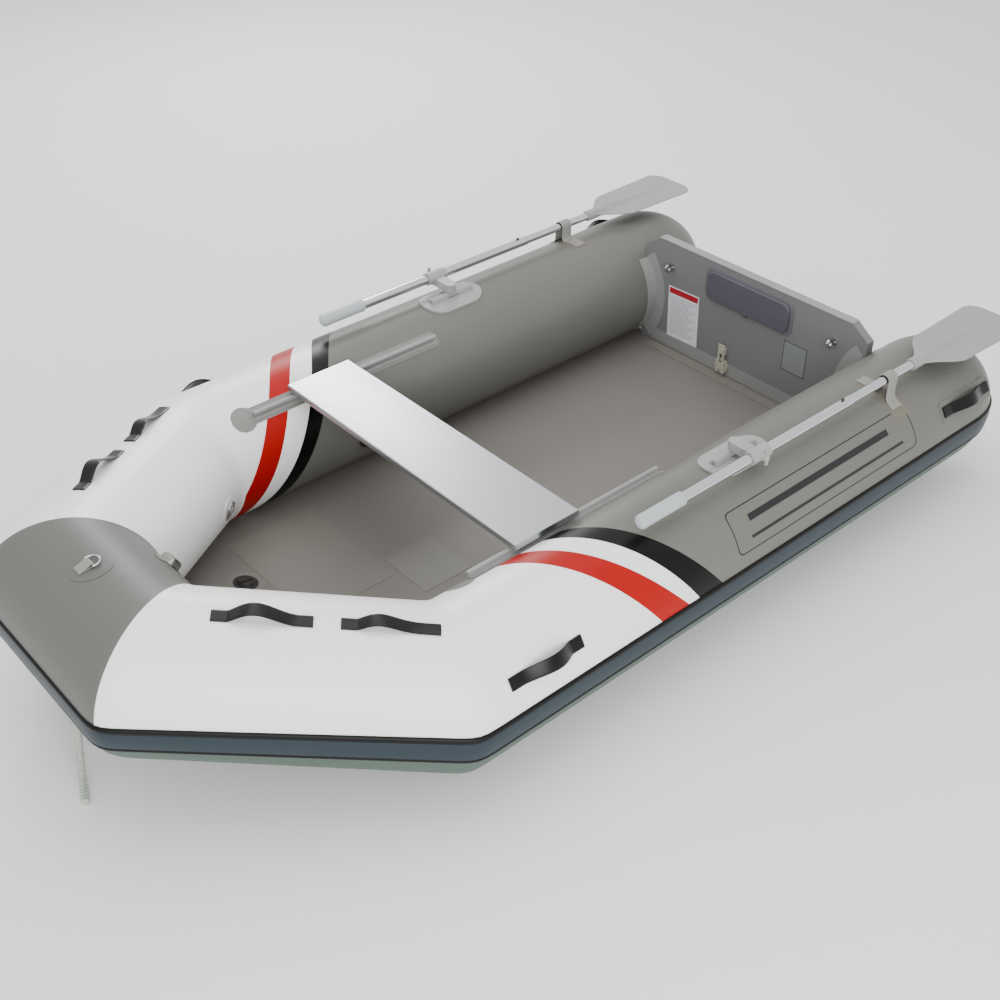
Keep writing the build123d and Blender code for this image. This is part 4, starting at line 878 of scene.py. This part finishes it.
# %% Transom fittings
def on_board(y, z, turn=0.0):
    def place(u, v, h):
        u, v = np.asarray(u), np.asarray(v)
        c, s = cos(radians(turn)), sin(radians(turn))
        return stacked(TRANSOM_X + np.asarray(h), y + u * c - v * s, z + u * s + v * c)
    return place


def flat_box(place, u_from, u_to, v_from, v_to, low, high, steps=6):
    u = np.linspace(u_from, u_to, steps)[:, None] + np.zeros((steps, steps))
    v = np.linspace(v_from, v_to, steps)[None] + np.zeros((steps, steps))
    return raised(place, u, v, low, high)


def cell_plate(place, u_lines, v_lines, filled, low, high):
    """Flat plate made of the cells marked x between u_lines and v_lines, one string for each row."""
    columns = len(u_lines)
    u, v = np.meshgrid(u_lines, v_lines)
    count = u.size
    points = np.concatenate([place(u, v, np.full(u.shape, height)).reshape(-1, 3) for height in (high, low)])
    cells = {(i, j) for i, row in enumerate(filled) for j, mark in enumerate(row) if mark == "x"}
    faces = []
    for i, j in sorted(cells):
        ring = [i * columns + j, i * columns + j + 1, (i + 1) * columns + j + 1, (i + 1) * columns + j]
        faces += [tuple(ring), tuple(count + k for k in reversed(ring))]
        beside = ((i - 1, j), (i, j + 1), (i + 1, j), (i, j - 1))
        for a, b, other in zip(ring, ring[1:] + ring[:1], beside):
            if other not in cells:
                faces.append((a, count + a, count + b, b))
    used = sorted({k for face in faces for k in face})
    place_of = {k: n for n, k in enumerate(used)}
    return points[used], [tuple(place_of[k] for k in face) for face in faces]


pad_low, pad_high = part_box("motor_pad_inner")
pad_place = on_board(0, (pad_low.z + pad_high.z) / 2)
pad_w, pad_h, pad_top = pad_high.y - pad_low.y, pad_high.z - pad_low.z, pad_high.x - TRANSOM_X
PAD_FOOT, PAD_STEP, BUTTON_STEP = 0.3 * MM, 3.5 * MM, 9 * MM
pad_base = disc_sheet(rounded_outline(pad_w + 0.006, pad_h + 0.006, 0.025), pad_place, PAD_FOOT, PAD_STEP)
bevel_edges(make_piece("motor_pad_base", *pad_base, (pad_base_plastic,), slot="pad_plastic"), 0.8)
pad = disc_sheet(rounded_outline(pad_w - 0.012, pad_h - 0.012, 0.022), pad_place, PAD_STEP, pad_top)
bevel_edges(make_piece("motor_pad", *pad, (pad_plastic,), nodes=("motor_pad_inner",), slot="pad_plastic"),
            3.0, 4)
button_place = on_board(-0.004, pad_low.z + 0.009)
button = joined([disc_sheet(round_outline(0.013, 32), button_place, PAD_FOOT, BUTTON_STEP),
                 disc_sheet(round_outline(0.007, 32), button_place, BUTTON_STEP, pad_top + 1.2 * MM)])
bevel_edges(make_piece("motor_pad_button", *button, (pad_plastic,), slot="pad_plastic"), 1.2)

latch_low, latch_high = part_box("drain_latch")
latch_place = on_board((latch_low.y + latch_high.y) / 2, latch_low.z)
latch_from, latch_to = latch_low.x - TRANSOM_X, latch_high.x - TRANSOM_X
latch_tall = latch_high.z - latch_low.z
LATCH_U = (-16.5 * MM, -12.5 * MM, -4.5 * MM, 4.5 * MM, 12.5 * MM, 16.5 * MM)
LATCH_V = (0, 10 * MM, 32.8 * MM, 40 * MM, 77.5 * MM, latch_tall)
LATCH_CELLS = ("xx.xx", "xxxxx", "xx.xx", ".x.x.", ".xxx.")
latch = cell_plate(latch_place, LATCH_U, LATCH_V, LATCH_CELLS, latch_from, latch_to)
bevel_edges(make_piece("drain_shutter_plate", *latch, (plastic_beige,), "drain_shutter", ("drain_latch",),
                       "light_plastic"), 0.8, 2)

foot = on_board(0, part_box("transom_board")[0].z)
band = flat_box(foot, -0.352, 0.352, 0.008, 0.046, 0.02 * MM, 0.26 * MM, 20)
make_piece("transom_foot_band", *band, (board_edge,), slot="transom_paint")

valve_low, valve_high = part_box("floor_valve_body")
valve_x, valve_y = (valve_low.x + valve_high.x) / 2, (valve_low.y + valve_high.y) / 2
patch_piece("floor_valve_patch", round_outline(0.046), lambda u, v, h: on_floor(valve_x + u, valve_y + v, h),
            pvc_floor_light_and_sheen, high=0.7)

# %% [markdown]
# ## Rail patches
# The seat rail is welded to a long strip of fabric that ends in a round patch, like a keyhole.

# %% Rail patches
RAIL_ANGLE, STRIP_HALF, ROUND_R, ROUND_AT, ROUND_OPEN, CUTS = 128, 0.022, 0.033, 0.025, 138, 40
rail_low, rail_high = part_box("seat_rails")
rail_front, rail_length = rail_high.x, rail_high.x - rail_low.x
middle = -rail_length / 2
upper_edge = []
for k in range(CUTS + 1):
    turn = radians(-ROUND_OPEN + 2 * ROUND_OPEN * k / CUTS)
    upper_edge.append((ROUND_AT + ROUND_R * cos(turn) - middle, ROUND_R * sin(turn)))
upper_edge += [(-rail_length * k / CUTS - middle, STRIP_HALF) for k in range(1, CUTS + 1)]
upper_edge.append((-rail_length - 0.010 - middle, 0.014))
upper_edge = sorted(point for point in upper_edge if point[1] > 0)
edge_x, edge_y = np.array(upper_edge).T
grid_x = np.linspace(edge_x[0], edge_x[-1], 160)
grid_y = np.interp(grid_x, edge_x, edge_y)
grid_y[-1] = 0.001
for side, side_name in SIDES:
    place = on_side_tube(rail_front + middle, RAIL_ANGLE, side)
    v = np.linspace(-1, 1, 9)[None] * grid_y[:, None]
    u = np.broadcast_to(grid_x[:, None], v.shape)
    make_piece(f"rail_patch_{side_name}", *raised(place, u, v, 0.05 * MM, 1.2 * MM), (pvc_patch,),
               nodes=("seat_rail_patches",) if side > 0 else (), slot="patch_fabric")

# %% [markdown]
# ## Oars
# The grip and the blade's socket are turned shapes, so a lathe function spins a profile round the shaft.
# The blade is a thin moulded plate: wide, with chamfered tip corners and a spine on both faces that fades
# toward the tip.

# %% Grips, blades, straps
def lathe(profile, y, z, steps=40):
    """Closed turned shape along X from (x, radius) pairs in metres."""
    rows = [[(x, y + r * cos(2 * pi * k / steps), z + r * sin(2 * pi * k / steps)) for k in range(steps)]
            for x, r in profile]
    return np.array(rows).reshape(-1, 3), grid_faces(len(rows), steps, ring=True) + end_caps(len(rows), steps)


OAR_Y, OAR_Z = 0.5729, 0.412
GRIP_END, GRIP_L, GRIP_R = 0.1199, 0.137, 0.0165
THROAT, TIP, SOCKET_R = -0.872, -1.2228, 0.0152
STRAP_X = -0.7491

grip_profile = [(GRIP_END - 0.010 * (1 - cos(radians(t))), 0.0004 + (GRIP_R - 0.0004) * sin(radians(t)))
                for t in range(0, 91, 10)]
grip_profile += [(GRIP_END - 0.02 - 0.009 * k, GRIP_R - 0.0005 * (k % 2)) for k in range(12)]
grip_profile += [(GRIP_END - GRIP_L + 0.004, GRIP_R), (GRIP_END - GRIP_L, GRIP_R - 0.0022),
                 (GRIP_END - GRIP_L, 0.0127)]

blade_x = np.concatenate([np.linspace(THROAT, THROAT - 0.09, 18, endpoint=False),
                          np.linspace(THROAT - 0.09, TIP + 0.030, 26, endpoint=False),
                          np.linspace(TIP + 0.030, TIP, 12)])
blade_half = np.interp(-blade_x, [-THROAT, -THROAT + 0.03, -THROAT + 0.062, -THROAT + 0.09,
                                  -TIP - 0.030, -TIP - 0.012, -TIP - 0.003, -TIP],
                       [0.0145, 0.032, 0.060, 0.076, 0.0838, 0.075, 0.060, 0.052])
blade_share = np.concatenate([[-1, -0.985, -0.95], np.linspace(-0.9, 0.9, 33), [0.95, 0.985, 1]])
edge_fat = np.interp(np.abs(blade_share), [0, 0.95, 0.985, 1], [1, 1, 0.8, 0.25])
spine = np.interp(-blade_x, [-THROAT, -THROAT + 0.05, -TIP - 0.05, -TIP], [0.0125, 0.0105, 0.0006, 0])

for side, side_name in SIDES:
    make_piece(f"grip_{side_name}", *lathe(grip_profile, side * OAR_Y, OAR_Z), (grip_plastic,),
               f"oar_{side_name}", (f"oar_grip_{side_name}",), "grip_foam")
    across = blade_share[None] * blade_half[:, None]
    ridge = spine[:, None] * np.clip(1 - np.abs(across) / (0.010 + 0.6 * spine[:, None]), 0, 1)
    thick = 2.4 * MM * edge_fat[None] + ridge
    xs = np.broadcast_to(blade_x[:, None], across.shape)
    plate = thick_sheet(np.stack([xs, side * OAR_Y + across, OAR_Z + thick], -1),
                        np.stack([xs, side * OAR_Y + across, OAR_Z - thick], -1))
    socket = lathe([(THROAT + 0.030, 0.0127), (THROAT + 0.030, SOCKET_R - 0.001), (THROAT + 0.029, SOCKET_R),
                    (THROAT, SOCKET_R), (THROAT - 0.035, 0.0135), (THROAT - 0.07, 0.0085),
                    (THROAT - 0.09, 0.003)],
                   side * OAR_Y, OAR_Z)
    make_piece(f"blade_{side_name}", *joined([plate, socket]), (blade_plastic,), f"oar_{side_name}",
               (f"oar_blade_{side_name}",), "light_plastic", crease=30)

    def across_boat(u, v, h, side=side):
        return stacked(STRAP_X + np.asarray(v), side * np.asarray(u), h)

    loop_r = 13.6
    foot_angles = [radians(t) for t in range(96, 73, -2)]
    tube = [(1e3 * HALF_Y + 170.6 * cos(t), 1e3 * AXIS_Z + 170.6 * sin(t)) for t in foot_angles]
    left_y, right_y = 1e3 * OAR_Y - loop_r, 1e3 * OAR_Y + loop_r
    tube = [(y, z) for y, z in tube if y < left_y - 6]
    rise = [(left_y - 2, 376), (left_y, 384), (left_y, 398)]
    hoop = [(1e3 * OAR_Y + loop_r * cos(radians(t)), 1e3 * OAR_Z + loop_r * sin(radians(t)))
            for t in range(180, -1, -12)]
    fall = [(right_y, 398), (right_y, 378), (right_y + 1, 366), (right_y + 5, 358.5), (right_y + 14, 352),
            (right_y + 26, 345)]
    strap = make_piece(f"oar_strap_loop_{side_name}", *ribbon(across_boat, tube + rise + hoop + fall, 36, 2.2),
                       (webbing_grey,), "hull", (f"oar_strap_{side_name}",), "webbing")
    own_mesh(strap)
    patch_piece(f"oar_strap_patch_{side_name}", rounded_outline(0.056, 0.150, 0.008),
                on_side_tube(STRAP_X, 72, side), pvc_strap_patch, high=0.5)

# %% [markdown]
# ## Blank labels and the side panel
# Labels are thin vinyl. They carry no words here: a red header and rules stand for the printed side, and a
# framed panel with plain bars for the printed panel on each side tube.

# %% Labels and side panel
notice = on_board(-0.234, 0.185, 2)
make_piece("notice_label", *flat_box(notice, -0.059, 0.059, -0.082, 0.082, 0.1 * MM, 0.5 * MM), (label_white,),
           nodes=("transom_labels",), slot="label_film")
make_piece("notice_header", *flat_box(notice, -0.055, 0.055, 0.060, 0.078, 0.5 * MM, 0.62 * MM), (label_red,),
           slot="label_film")
RULE_STEP = 0.0088
rules = [flat_box(notice, -0.050, 0.050 - 0.014 * (k % 3), 0.048 - RULE_STEP * k, 0.0498 - RULE_STEP * k,
                  0.5 * MM, 0.58 * MM) for k in range(14)]
make_piece("notice_rules", *joined(rules), (label_grey,), slot="label_film")
plate = on_board(0.176, 0.219)
make_piece("plate_label", *flat_box(plate, -0.042, 0.042, -0.048, 0.048, 0.1 * MM, 0.5 * MM), (label_grey,),
           slot="label_film")
frame_bars = [flat_box(plate, -0.040, 0.040, v, v + 0.002, 0.5 * MM, 0.6 * MM) for v in (-0.046, 0.044)]
frame_bars += [flat_box(plate, u, u + 0.002, -0.046, 0.046, 0.5 * MM, 0.6 * MM) for u in (-0.040, 0.038)]
make_piece("plate_lines", *joined(frame_bars), (pvc_print,), slot="label_film")

PANEL_BACK, PANEL_FRONT, PANEL_LOW, PANEL_HIGH, PANEL_LINE = -0.768, -0.108, 19.0, 54.0, 0.005
for side, side_name in SIDES:
    middle_x, middle_angle = (PANEL_BACK + PANEL_FRONT) / 2, (PANEL_LOW + PANEL_HIGH) / 2
    place = on_side_tube(middle_x, middle_angle, side)
    tall = radians(PANEL_HIGH - PANEL_LOW) * TUBE_R
    ring = np.array(rounded_outline(PANEL_FRONT - PANEL_BACK, tall, 0.014, 6))
    inner_ring = ring * [1 - PANEL_LINE / 0.66, 1 - PANEL_LINE / tall]
    closed = [np.vstack([line, line[:1]]) for line in (inner_ring, ring)]
    u = np.stack([line[:, 0] for line in closed])
    v = np.stack([line[:, 1] for line in closed])
    parts = [raised(place, u, v, 0.05 * MM, 0.28 * MM)]
    for v_mid, width, u_from, u_to in ((0.018, 0.016, -0.24, 0.27), (-0.024, 0.007, -0.28, 0.28)):
        v_from, v_to = v_mid - width / 2, v_mid + width / 2
        parts.append(flat_box(place, u_from, u_to, v_from, v_to, 0.05 * MM, 0.28 * MM, 14))
    make_piece(f"side_panel_{side_name}", *joined(parts), (pvc_print,), slot="tube_fabric_grey")
